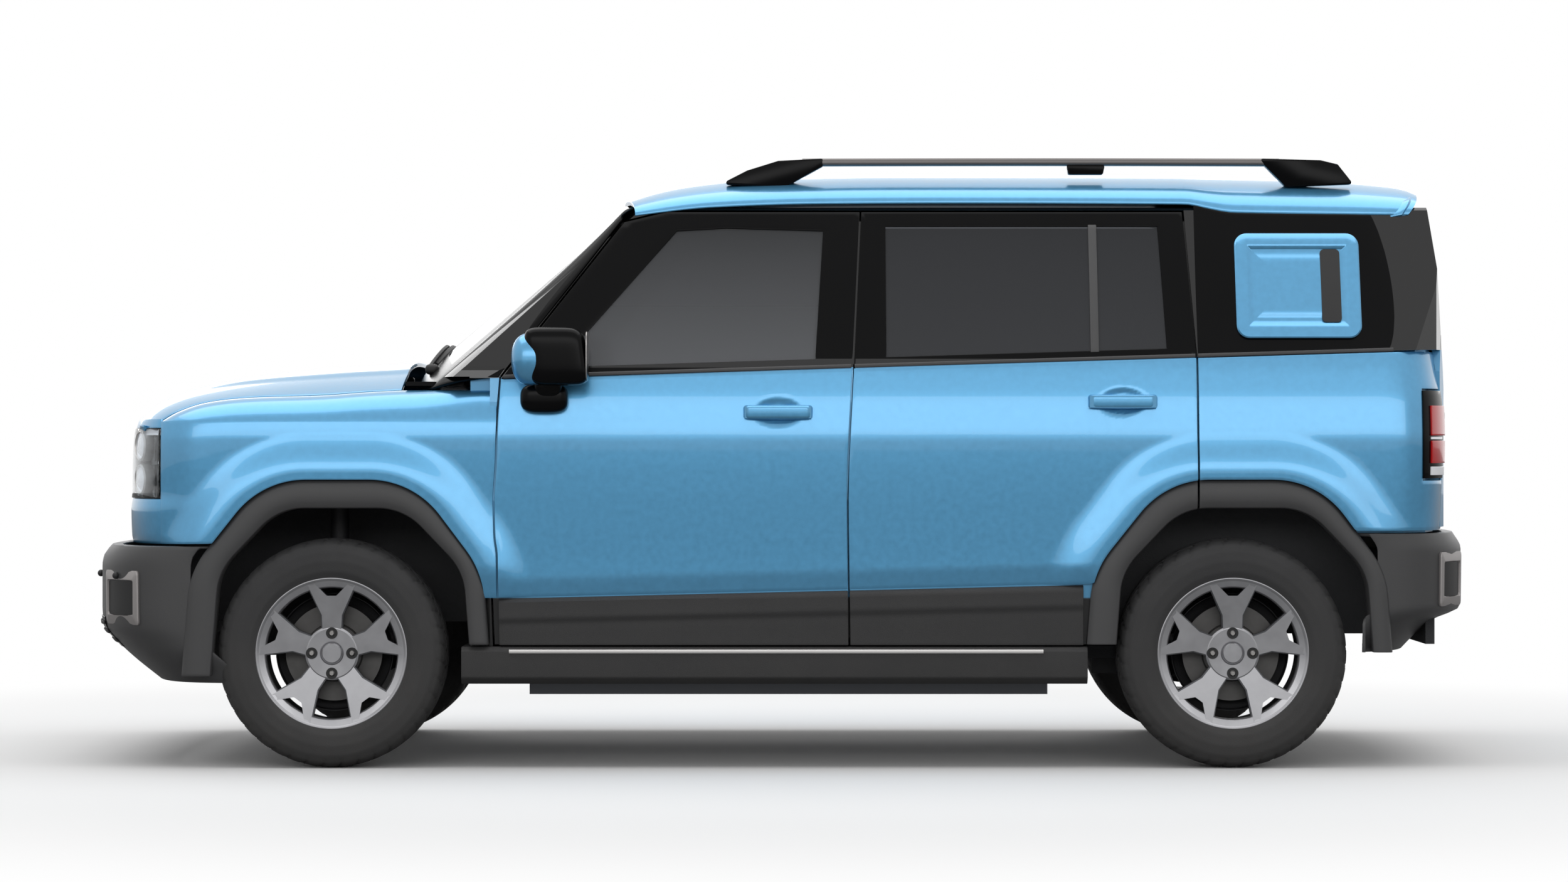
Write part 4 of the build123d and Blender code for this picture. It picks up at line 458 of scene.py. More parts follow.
class Shell:
    """Grids of points that make one piece, each with its own finish."""

    def __init__(self, name: str) -> None:
        """Starts an empty piece."""
        self.name = name
        self.points: list[Array] = []
        self.faces: list[list[int]] = []
        self.finishes: list[Finish] = []
        self.indices: list[int] = []
        self.total = 0

    def index_of(self, finish: Finish) -> int:
        """Place of a finish among the piece's own, added if it is new."""
        if finish not in self.finishes:
            self.finishes.append(finish)
        return self.finishes.index(finish)

    def add(self, grid: Array, finish: Finish, centre: Place | None = CAR_MIDDLE,
            keep: Array | None = None) -> "Shell":
        """Adds a grid of quads.

        Args:
            grid: Points in rows and columns.
            finish: What the grid is finished with.
            centre: A point inside; the faces are turned to look away from it. None leaves them.
            keep: Which quads stay, where the grid has an opening.

        Returns:
            The piece itself.
        """
        rows, columns = grid.shape[:2]
        index = np.arange(rows * columns).reshape(rows, columns)
        corners = [index[:-1, :-1], index[:-1, 1:], index[1:, 1:], index[1:, :-1]]
        quads = np.stack(corners, axis=2).reshape(-1, 4)
        flat = grid.reshape(-1, 3)
        if centre is not None:
            across = flat[quads[:, 2]] - flat[quads[:, 0]]
            along = flat[quads[:, 3]] - flat[quads[:, 1]]
            outward = flat[quads].mean(axis=1) - np.asarray(centre, float)
            if (np.cross(across, along) * outward).sum() < 0:
                quads = quads[:, ::-1]
        if keep is not None:
            quads = quads[keep.reshape(-1)]
        self.points.append(flat)
        self.faces += (quads + self.total).tolist()
        self.indices += [self.index_of(finish)] * len(quads)
        self.total += len(flat)
        return self

    def prism(self, low: Array, high: Array, finish: Finish) -> "Shell":
        """Adds a closed prism between two outlines of as many points."""
        count = len(low)
        at, after = np.arange(count), (np.arange(count) + 1) % count
        sides = np.stack([at, after, after + count, at + count], axis=1) + self.total
        self.points.append(np.concatenate([low, high]))
        self.faces += sides.tolist() + [(at[::-1] + self.total).tolist(), (at + count + self.total).tolist()]
        self.indices += [self.index_of(finish)] * (count + 2)
        self.total += 2 * count
        return self

    def pair(self, grid: Array, finish: Finish, centre: Place | None = CAR_MIDDLE) -> "Shell":
        """Adds a grid and its mirror image."""
        self.add(grid, finish, centre)
        other = None if centre is None else (centre[0], -centre[1], centre[2])
        return self.add(placed(grid, -1.0)[:, ::-1], finish, other)

    def lump(self, finish: Finish, centre: Place, half: Place, power: float, rows: int = 28,
             columns: int = 48, sign: float = 1.0) -> "Shell":
        """Adds a superellipsoid on the left side, or its mirror image for a sign of -1."""
        grid = placed(pillow(centre, half, power, rows, columns), sign)
        return self.add(grid, finish, (centre[0], sign * centre[1], centre[2]))

    def tube(self, profile: Array, path: Array, finish: Finish, up: Place = (0.0, 0.0, 1.0)) -> "Shell":
        """Adds a closed profile swept along a path, with both ends capped by shrunken rings."""
        body = sweep(profile, path, up)
        ends = [body[:1].mean(axis=1, keepdims=True) + 0 * body[:1], body,
                body[-1:].mean(axis=1, keepdims=True) + 0 * body[-1:]]
        return self.add(np.concatenate(ends), finish, None)

    def build(self, body: str, slot: str, replaces: tuple[str, ...] = (), wall: float = 0.0, rim: float = 0.0,
              crease: float = 34.0, closed: bool = False) -> bpy.types.Object:
        """Args:
            body: The body that it rides on.
            slot: The record's material slot; it is not used.
            replaces: CAD nodes that it stands for.
            wall: Thickness, laid inwards.
            rim: Radius of the rounded edges.
            crease: Angle in degrees over which an edge stays sharp.
            closed: Whether the grids close by themselves, so that their normals are worked out anew.

        Returns:
            The finished piece.
        """
        mesh = bpy.data.meshes.new(self.name)
        mesh.from_pydata(np.concatenate(self.points), [], self.faces)
        for finish in self.finishes:
            mesh.materials.append(finish.material())
        mesh.polygons.foreach_set("material_index", np.array(self.indices, np.int32))
        work = bmesh.new()
        work.from_mesh(mesh)
        bmesh.ops.remove_doubles(work, verts=work.verts, dist=WELD)
        bmesh.ops.dissolve_degenerate(work, edges=work.edges, dist=WELD)
        if closed:
            bmesh.ops.recalc_face_normals(work, faces=work.faces)
        work.to_mesh(mesh)
        work.free()
        piece = bpy.data.objects.new(self.name, mesh)
        bpy.context.scene.collection.objects.link(piece)
        if wall > 0:
            solid = piece.modifiers.new("wall", "SOLIDIFY")
            solid.thickness, solid.offset, solid.use_even_offset = wall, -1.0, False
        if rim > 0:
            edge = piece.modifiers.new("rim", "BEVEL")
            edge.width, edge.segments, edge.use_clamp_overlap = rim, 2, True
            edge.limit_method, edge.angle_limit = "ANGLE", radians(RIM_ANGLE)
        if piece.modifiers:
            shaped = piece.evaluated_get(bpy.context.evaluated_depsgraph_get())
            final = bpy.data.meshes.new_from_object(shaped)
            piece.modifiers.clear()
            piece.data = final
            final.name = self.name
            bpy.data.meshes.remove(mesh)
        piece.data.shade_smooth()
        piece.data.set_sharp_from_angle(angle=radians(crease))
        return declare(piece, body, replaces)


def declare(piece: bpy.types.Object, body: str, replaces: tuple[str, ...]) -> bpy.types.Object:
    """Says what a piece rides on and which CAD nodes it stands for."""
    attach(piece, body)
    if replaces:
        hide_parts(*replaces)
    LOG.info("%s: %d faces on %s", piece.name, len(piece.data.polygons), body)
    return piece


# The shape of the body

def superellipse(share: Array, power: float) -> Array:
    """Height of a unit superellipse at a share of its half width, which stops just short of its end."""
    return (1 - np.clip(share, 0, 0.9995) ** power) ** (1 / power)


@dataclass(frozen=True)
class BodyShape:
    """The outer surface of the body, as functions of place."""

    nose_reach: float = 0.36
    nose_power: float = 3.5
    tail_reach: float = 0.25
    tail_power: float = 3.8
    front_axle: float = 1.278
    rear_axle: float = -1.282
    arch_shift: float = -0.030
    arch_band: float = 0.084
    arch_rear_band: float = 0.056
    arch_top: float = 0.738
    flare_rise: float = 0.020
    flare_reach: float = 0.135
    hood_half: float = 0.742
    hood_drop: float = 0.048
    plan_half: float = 0.862
    belt_half: float = 0.838
    belt_height: float = 1.130
    glass_height: float = 0.462
    glass_lean: float = 0.152

    def belt(self, x: Array | float) -> Array:
        """Height of the belt line: it rises evenly towards the tail."""
        return BELT_Z + (BELT_X - np.asarray(x)) * BELT_RISE

    def cladding_top(self, x: Array | float) -> Array:
        """Height of the lower cladding's upper edge, which also rises towards the tail."""
        return 0.482 + (0.822 - np.asarray(x)) * 0.0235

    def nose(self, z: Array | float) -> Array:
        """Foremost X of the painted front at a height."""
        return smooth_curve(z, [0.24, 0.60, 0.66, 0.73, 0.78, 0.87, 0.93, 0.968, 1.00, 1.03],
                            [1.870, 1.897, 1.910, 1.912, 1.906, 1.905, 1.902, 1.896, 1.884, 1.858])

    def tail(self, z: Array | float) -> Array:
        """Rearmost X of the body at a height."""
        return smooth_curve(z, [0.30, 0.68, 0.94, 1.03, 1.13, 1.30, 1.59],
                            [-1.920, -1.925, -1.932, -1.930, -1.917, -1.897, -1.860])

    def section(self, z: Array | float) -> Array:
        """Half width of the lower body at a height, widest at mid door and drawn in below the crease."""
        return smooth_curve(z, [0.24, 0.40, 0.50, 0.60, 0.70, 0.80, 0.88,
                                0.935, 0.955, 1.00, 1.05, 1.10, 1.14, 1.19],
                            [0.848, 0.858, 0.8620, 0.8636, 0.8658, 0.8680, 0.8692,
                             0.8695, 0.8684, 0.8632, 0.8568, 0.8474, 0.8390, 0.8260])

    def tuck(self, x: Array, z: Array) -> Array:
        """How far the band under the doors' low crease leans in, which fades out at both arches."""
        crease = 0.532 + (0.79 - x) * 0.0264
        fade = smooth_step((0.80 - x) / 0.05) * smooth_step((x + 0.90) / 0.06)
        return 0.11 * np.clip(crease - z, 0, 0.12) * fade

    def glasshouse(self, z: Array | float) -> Array:
        """Half width above the belt: it leans in, bowed out a little at mid height."""
        share = (np.asarray(z, float) - self.belt_height) / self.glass_height
        return self.belt_half - self.glass_lean * share + 0.008 * np.sin(pi * np.clip(share, 0, 1)) + PROUD

    def taper(self, x: Array, z: Array) -> Array:
        """Share of the width that is left near the nose and tail: quarter superellipses in plan."""
        ahead = (x - self.nose(z) + self.nose_reach) / self.nose_reach
        behind = (self.tail(z) + self.tail_reach - x) / self.tail_reach
        return superellipse(ahead, self.nose_power) * superellipse(behind, self.tail_power)

    def setback(self, y: Array | float, half: float = plan_half) -> Array:
        """How far the nose lies behind its foremost point at a distance from the middle."""
        return self.nose_reach * (1 - superellipse(np.abs(y) / half, self.nose_power))

    def tail_setback(self, y: Array | float, half: float = plan_half) -> Array:
        """How far the tail lies ahead of its rearmost point at a distance from the middle."""
        return self.tail_reach * (1 - superellipse(np.abs(y) / half, self.tail_power))

    def arch(self, axle: float, band: float, rear_band: float, drop: float = -0.20) -> Array:
        """Arch outline in (x, z) from the rear foot over the wheel to the front foot."""
        middle = axle + self.arch_shift
        corners = [
            (middle - 0.405 - rear_band, drop), (middle - 0.346 - rear_band, 0.560),
            (middle - 0.176 - rear_band * 0.55, self.arch_top + band),
            (middle + 0.176 + band * 0.55, self.arch_top + band),
            (middle + 0.346 + band, 0.560), (middle + 0.405 + band, drop),
        ]
        return rounded(corners, 0.170 + band, 14)

    def flare(self, x: Array, z: Array) -> Array:
        """Soft blister round each arch: it falls off with the distance from the trim's outer edge."""
        rise = np.zeros(np.broadcast(x, z).shape)
        x, z = np.broadcast_arrays(np.asarray(x, float), np.asarray(z, float))
        for axle in (self.front_axle, self.rear_axle):
            line = self.arch(axle, self.arch_band, self.arch_rear_band)
            start, span = line[:-1], np.diff(line, axis=0)
            place = np.stack([x, z], axis=-1)[..., None, :]
            along = ((place - start) * span).sum(-1) / (span**2).sum(-1)
            nearest = start + np.clip(along, 0, 1)[..., None] * span
            distance = np.linalg.norm(place - nearest, axis=-1).min(axis=-1)
            share = smooth_step(1.15 * (1 - distance / self.flare_reach))
            low = smooth_step((z - 0.42) / 0.16)
            rise = np.maximum(rise, self.flare_rise * share * low)
        return rise

    def side(self, x: Array, z: Array) -> Array:
        """Half width of the painted lower body at a place in side view."""
        return (self.section(z) - self.tuck(x, z) + self.flare(x, z)) * self.taper(x, z)

    def upper_side(self, x: Array, z: Array) -> Array:
        """Half width of the glasshouse at a place in side view."""
        behind = (self.tail(z) + self.tail_reach - x) / self.tail_reach
        return self.glasshouse(z) * superellipse(behind, self.tail_power)

    def hood_line(self, x: Array | float) -> Array:
        """Height of the hood's middle line."""
        return smooth_curve(x, [1.05, 1.131, 1.280, 1.429, 1.579, 1.728, 1.803, 1.850, 1.877, 1.886],
                            [1.163, 1.157, 1.149, 1.136, 1.118, 1.091, 1.066, 1.040, 1.014, 0.998]) + PROUD

    def hood(self, x: Array, y: Array) -> Array:
        """Height of the hood: the middle line drawn back with the plan, less its crown."""
        across = np.abs(y) / self.hood_half
        drop = self.hood_drop + 0.030 * smooth_step((1.70 - x) / 0.45)
        crown = drop * across**2.6
        dome = 0.006 * smooth_step((0.72 - across) / 0.08) * smooth_step((1.80 - x) / 0.25)
        return self.hood_line(x + self.setback(y)) - crown + dome - 0.004

    def roof_line(self, x: Array | float) -> Array:
        """Height of the roof's middle line."""
        return smooth_curve(x, [-1.846, -1.80, -1.56, -1.0, -0.32, 0.10, 0.239, 0.314, 0.390, 0.440, 0.474],
                            [1.676, 1.692, 1.711, 1.721, 1.722, 1.712, 1.698, 1.686, 1.667, 1.648, 1.632])

    def roof_edge(self, x: Array | float) -> Array:
        """Height of the painted roof's lower edge at the side."""
        return smooth_curve(x, [-1.85, -1.30, -1.235, -1.16, -0.50, -0.10, 0.20, 0.445],
                            [1.577, 1.584, 1.594, 1.609, 1.612, 1.610, 1.600, 1.573])


SHAPE = BodyShape()


def on_side(flat: Array, surface: Surface, proud: Array | float = 0.0) -> Array:
    """Lifts points of (x, z) onto a side surface."""
    y = surface(flat[..., 0], flat[..., 1]) + proud
    return np.stack([flat[..., 0], y, flat[..., 1]], axis=-1)


def crossing(line: Array, axis: int, value: float, index: int) -> tuple[int, Array]:
    """Span and point at which a line crosses a value of one coordinate, for the crossing of that index."""
    side = np.sign(line[:, axis] - value)
    span = int(np.nonzero(side[:-1] * side[1:] <= 0)[0][index])
    share = (value - line[span, axis]) / (line[span + 1, axis] - line[span, axis] + 1e-12)
    return span, line[span] + share * (line[span + 1] - line[span])


def after(line: Array, axis: int, value: float) -> Array:
    """Part of a line from its first crossing of a value on."""
    span, point = crossing(line, axis, value, 0)
    return np.vstack([point, line[span + 1:]])


def before(line: Array, axis: int, value: float) -> Array:
    """Part of a line up to its last crossing of a value."""
    span, point = crossing(line, axis, value, -1)
    return np.vstack([line[:span + 1], point])


def between(rear: Curve, front: Curve, low: Curve, high: Curve, rows: int, columns: int) -> Array:
    """Grid of (x, z) between two upright borders, given by height, and two level ones, given by place."""
    v = np.linspace(0, 1, rows)[:, None] * np.ones((1, columns))
    u = np.linspace(0, 1, columns)[None] * np.ones((rows, 1))
    x, z = np.zeros_like(u), np.full_like(u, 0.9)
    for _ in range(5):
        x = rear(z) + u * (front(z) - rear(z))
        z = low(x) + v * (high(x) - low(x))
    return np.stack([x, z], axis=-1)


def loft(loops: list[Array]) -> Array:
    """Rings of as many points joined in turn, each closed by its own first point."""
    return np.stack([np.vstack([loop, loop[:1]]) for loop in loops])


def inset_box(low: tuple[float, float], high: tuple[float, float], inset: float, radius: float) -> Array:
    """Rounded rectangle between two corners, moved inwards by an inset."""
    (x0, z0), (x1, z1) = np.array(low) + inset, np.array(high) - inset
    return rounded([(x0, z0), (x1, z0), (x1, z1), (x0, z1)], max(radius - inset, 0.002), closed=True)


def pillow(centre: Place, half: Place, power: float, rows: int = 28, columns: int = 48) -> Array:
    """Superellipsoid: cosines and sines raised to 2/power, so that a high power gives a fuller box."""
    down = np.linspace(-pi / 2, pi / 2, rows)[:, None]
    turn = np.linspace(-pi, pi, columns + 1)[None]
    grow = 2 / power

    def bent(value: Array) -> Array:
        """Value raised to the power with its sign kept."""
        return np.sign(value) * np.abs(value) ** grow

    x = bent(np.cos(down)) * bent(np.cos(turn))
    y = bent(np.cos(down)) * bent(np.sin(turn))
    z = bent(np.sin(down)) * np.ones_like(turn)
    return np.stack([centre[0] + half[0] * x, centre[1] + half[1] * y, centre[2] + half[2] * z], axis=-1)


# Sub-assemblies

@dataclass
class FrontEnd:
    """Hood, fenders, front face, lamps, grille and front bumper."""

    wall: float = 0.005
    corner_x: float = 1.767
    face_low: float = 0.636
    face_high: float = 0.992
    lamp_low: float = 0.764
    lamp_high: float = 0.966
    lamp_inner: float = 0.524
    bumper_reach: float = 0.36
    bumper_power: float = 3.5
    bumper_half: float = 0.868
    hood_rear: float = 1.088
    hood_edge: float = 0.745
    fender_low: float = 0.484
    fender_high: float = 0.985
    nose_share: float = 0.806

    def nose_half(self, z: Array) -> Array:
        """Half width of the front face where it meets the fenders."""
        return SHAPE.side(self.corner_x + 0 * z, z)

    def face(self, share: Array, z: Array, proud: float = 0.0) -> Array:
        """Points on the front face: the share of its half width goes from -1 to 1."""
        half = self.nose_half(z)
        ahead = np.clip((self.corner_x - SHAPE.nose(z) + SHAPE.nose_reach) / SHAPE.nose_reach, 0, 0.999)
        full = half / (1 - ahead**SHAPE.nose_power) ** (1 / SHAPE.nose_power)
        y = share * half
        x = SHAPE.nose(z) - SHAPE.setback(y, full) + proud
        return np.stack([x, y, z + 0 * y], axis=-1)

    def hood(self) -> None:
        """Bonnet: its top from the cowl to the nose, and the lip that turns down in front."""
        y = np.linspace(-0.740, 0.740, 81)[None]
        t = np.linspace(0, 1, 70)[:, None]
        nose_x = 1.877 - SHAPE.setback(y)
        x = self.hood_rear + t * (nose_x - self.hood_rear)
        top = np.stack([x, y + 0 * x, SHAPE.hood(x, y)], axis=-1)
        edge = top[-1, :, 2]
        down = np.linspace(0, 1, 7)[1:, None]
        z = edge + down * (0.972 - edge)
        lip = np.stack([SHAPE.nose(z) - SHAPE.setback(y) - 0.001, y + 0 * z, z], axis=-1)
        bonnet = Shell("hood_skin").add(np.concatenate([top, lip]), PAINT)
        bonnet.build("hood", "paint", ("hood",), wall=0.012, rim=0.002)

    def fenders(self) -> None:
        """Fenders: a blended side patch round the arch, and the shoulder that rolls over to the hood."""
        arch = SHAPE.arch(SHAPE.front_axle, SHAPE.arch_band - GAP, SHAPE.arch_rear_band - GAP)
        run = before(after(arch, 1, self.fender_low), 1, self.face_low + 0.002)
        z = np.linspace(self.fender_low, self.fender_high, 40)
        left = np.stack([DOORS.front_edge(z) + 2 * GAP, z], axis=1)
        right = np.array([[self.corner_x, self.face_low], [self.corner_x, self.fender_high]])
        bottom = np.vstack([left[0], run, right[0]])
        top = np.array([left[-1], right[-1]])
        side = on_side(coons(bottom, top, left, right, 48, 110), SHAPE.side)
        x = side[-1, :, 0]
        low = side[-1]
        back = smooth_step((self.hood_rear - x) / 0.24)
        high_z = SHAPE.hood(np.maximum(x, self.hood_rear), self.hood_edge + 0 * x)
        high = np.stack([x, self.hood_edge + 0.055 * back, high_z], axis=1)
        bend_y = 0.845 * SHAPE.taper(x, 1.0 + 0 * x)
        bend = np.stack([x, bend_y, np.maximum(high_z - 0.004, low[:, 2])], axis=1)
        t = np.linspace(0, 1, 16)[:, None, None]
        shoulder = (1 - t) ** 2 * low + 2 * t * (1 - t) * bend + t**2 * high
        skin = Shell("front_fender_skins").pair(np.concatenate([side, shoulder[1:]]), PAINT)
        skin.build("body", "paint", ("front_fenders",), wall=self.wall, rim=0.0015)

    def panel(self) -> None:
        """Painted front face, with openings for the lamps and the grille."""
        share = np.linspace(-1, 1, 121)[None]
        z = np.unique(np.concatenate([np.linspace(self.face_low, self.lamp_low, 14),
                                      np.linspace(self.lamp_low, self.lamp_high, 12),
                                      np.linspace(self.lamp_high, self.face_high, 4)]))[:, None]
        grid = self.face(share + 0 * z, z + 0 * share)
        middle = (z[1:] + z[:-1]) / 2 + 0 * share[:, 1:]
        keep = (middle < self.lamp_low) | (middle > self.lamp_high)
        face = Shell("front_face").add(grid, PAINT, keep=keep)
        face.build("body", "paint", ("front_panel",), wall=self.wall, rim=0.0015)

    def band(self, first: float, second: float, low: float, high: float, proud: float, rows: int = 12,
             columns: int = 30) -> Array:
        """Part of the front face between two shares of its half width and two heights."""
        share = np.linspace(first, second, columns)[None]
        z = np.linspace(low, high, rows)[:, None]
        return self.face(share + 0 * z, z + 0 * share, proud)

    def lamps(self) -> None:
        """Headlamps: a dark case, two lens units and a light bar behind a clear cover."""
        inner = self.lamp_inner / self.nose_share
        case, cover = Shell("head_lamp_cases"), Shell("head_lamp_covers")
        for sign in SIDES.values():
            low, high = self.lamp_low + 0.001, self.lamp_high - 0.001
            front = placed(self.band(inner, 1.0, low, high, 0.0), sign)
            back = placed(self.band(inner, 1.0, low, high, -0.044), sign)
            case.add(back, PIANO, (0, 0, 0.86))
            for edge in (np.s_[0], np.s_[-1], np.s_[:, 0], np.s_[:, -1]):
                case.add(np.stack([front[edge], back[edge]]), PIANO, (1.75, sign * 0.68, 0.865))
            cover.add(front + np.array([0.003, 0, 0]), CLEAR)
            for z in (0.915, 0.818):
                self.lens(case, (1.856, sign * 0.700, z))
            bar = placed(self.band(0.66, 0.98, 0.946, 0.956, -0.012, 4), sign)
            case.add(bar, WHITE_LENS)
        case.build("body", "gloss_black", ("head_lamps",), wall=0.003)
        cover.build("body", "lamp_clear", wall=0.003, rim=0.001)

    def lens(self, case: Shell, at: Place) -> None:
        """One lens unit: a bright bezel round a domed lens, turned outwards with the corner."""
        turn = np.linspace(0, 2 * pi, 41)[:, None]
        radius = np.array([0.044, 0.044, 0.040, 0.036, 0.033, 0.024, 0.012, 0.0005])[None]
        depth = np.array([-0.030, -0.004, 0.0, -0.006, -0.010, -0.003, 0.001, 0.002])[None]
        lean = 0.50 * np.sign(at[1])
        flat_y, flat_z = radius * np.cos(turn), radius * np.sin(turn)
        depth = depth + 0 * turn
        x = at[0] - 0.012 + depth * cos(lean) - flat_y * sin(lean)
        y = at[1] + depth * sin(lean) + flat_y * cos(lean)
        grid = np.stack([x, y, at[2] + flat_z], axis=-1)
        case.add(grid[:, :4], SILVER, (1.70, at[1], at[2]))
        case.add(grid[:, 3:], WHITE_LENS, (1.70, at[1], at[2]))

    def grille(self) -> None:
        """Black band between the lamps, with a row of upright slots and two light bars."""
        edge = self.lamp_inner / self.nose_share - 0.004
        plate = Shell("grille_band")
        low, high = self.lamp_low + 0.001, self.lamp_high - 0.001
        plate.add(self.band(-edge, edge, low, high, -0.012, 10, 60), PIANO)
        plate.build("body", "gloss_black", ("grille",), wall=0.006, rim=0.002)
        ribs = Shell("grille_ribs")
        for index in range(13):
            share = (index - 6) / 6 * edge * 0.90
            ribs.add(self.band(share - 0.022, share + 0.022, 0.800, 0.930, -0.002, 8, 5), CLADDING)
        ribs.build("body", "gloss_black", wall=0.010, rim=0.002)

    def bumper_face(self, z: Array) -> Array:
        """Foremost X of the bumper at a height."""
        return smooth_curve(z, [0.234, 0.30, 0.35, 0.40, 0.45, 0.57, 0.60, 0.632],
                            [1.820, 1.900, 1.952, 1.991, 1.996, 1.996, 1.990, 1.965])

    def bumper_point(self, share: Array, z: Array, proud: float = 0.0) -> Array:
        """Point on the bumper: the share runs from -1 at the right arch to 1 at the left one."""
        angle = share * (pi / 2 - 0.02)
        n = 2 / self.bumper_power
        half = self.bumper_half - 0.03 * smooth_step((0.34 - z) / 0.12) + proud
        across = np.sin(np.abs(angle)) ** n * np.sign(share)
        ahead = np.cos(angle) ** n
        x = self.bumper_face(z) - self.bumper_reach + (self.bumper_reach + proud) * ahead
        return np.stack([x, half * across, z], axis=-1)

    def bumper(self) -> None:
        """Bumper moulding, dark, with two lower intakes of three bars each and four small sensors."""
        z = np.concatenate([[0.240], np.linspace(0.262, 0.60, 30), [0.618, 0.630]])[:, None]
        share = np.linspace(-1, 1, 181)[None]
        grid = self.bumper_point(share + 0 * z, z + 0 * share)
        top = grid[-1] * np.array([1.0, 0.985, 1.0]) - np.array([0.03, 0, -0.001])
        face = Shell("front_bumper_skin").add(np.concatenate([grid, top[None]]), TRIM_EDGE)
        face.build("body", "cladding", ("front_bumper",), wall=0.008, rim=0.003)
        intake = Shell("front_intake")
        for sign in SIDES.values():
            wide = sign * np.linspace(0.035, 0.440, 40)[None]
            tall = np.linspace(0.336, 0.424, 8)[:, None]
            intake.add(self.bumper_point(wide + 0 * tall, tall + 0 * wide, 0.003), PIANO)
            for level in (0.349, 0.375, 0.401):
                bar = np.linspace(level, level + 0.010, 3)[:, None]
                intake.add(self.bumper_point(wide + 0 * bar, bar + 0 * wide, 0.008), CLADDING)
        intake.build("body", "gloss_black", wall=0.004, rim=0.001)
        sensors = Shell("front_sensors")
        for share_at in (-0.62, -0.28, 0.28, 0.62):
            centre = self.bumper_point(np.array(share_at), np.array(0.545), 0.004)
            sensors.lump(SEAL, tuple(centre), (0.010, 0.010, 0.010), 2.0, 10, 16)
        sensors.build("body", "cladding", closed=True)

    def build(self) -> None:
        """Builds every piece of the front."""
        self.hood()
        self.fenders()
        self.panel()
        self.lamps()
        self.grille()
        self.bumper()


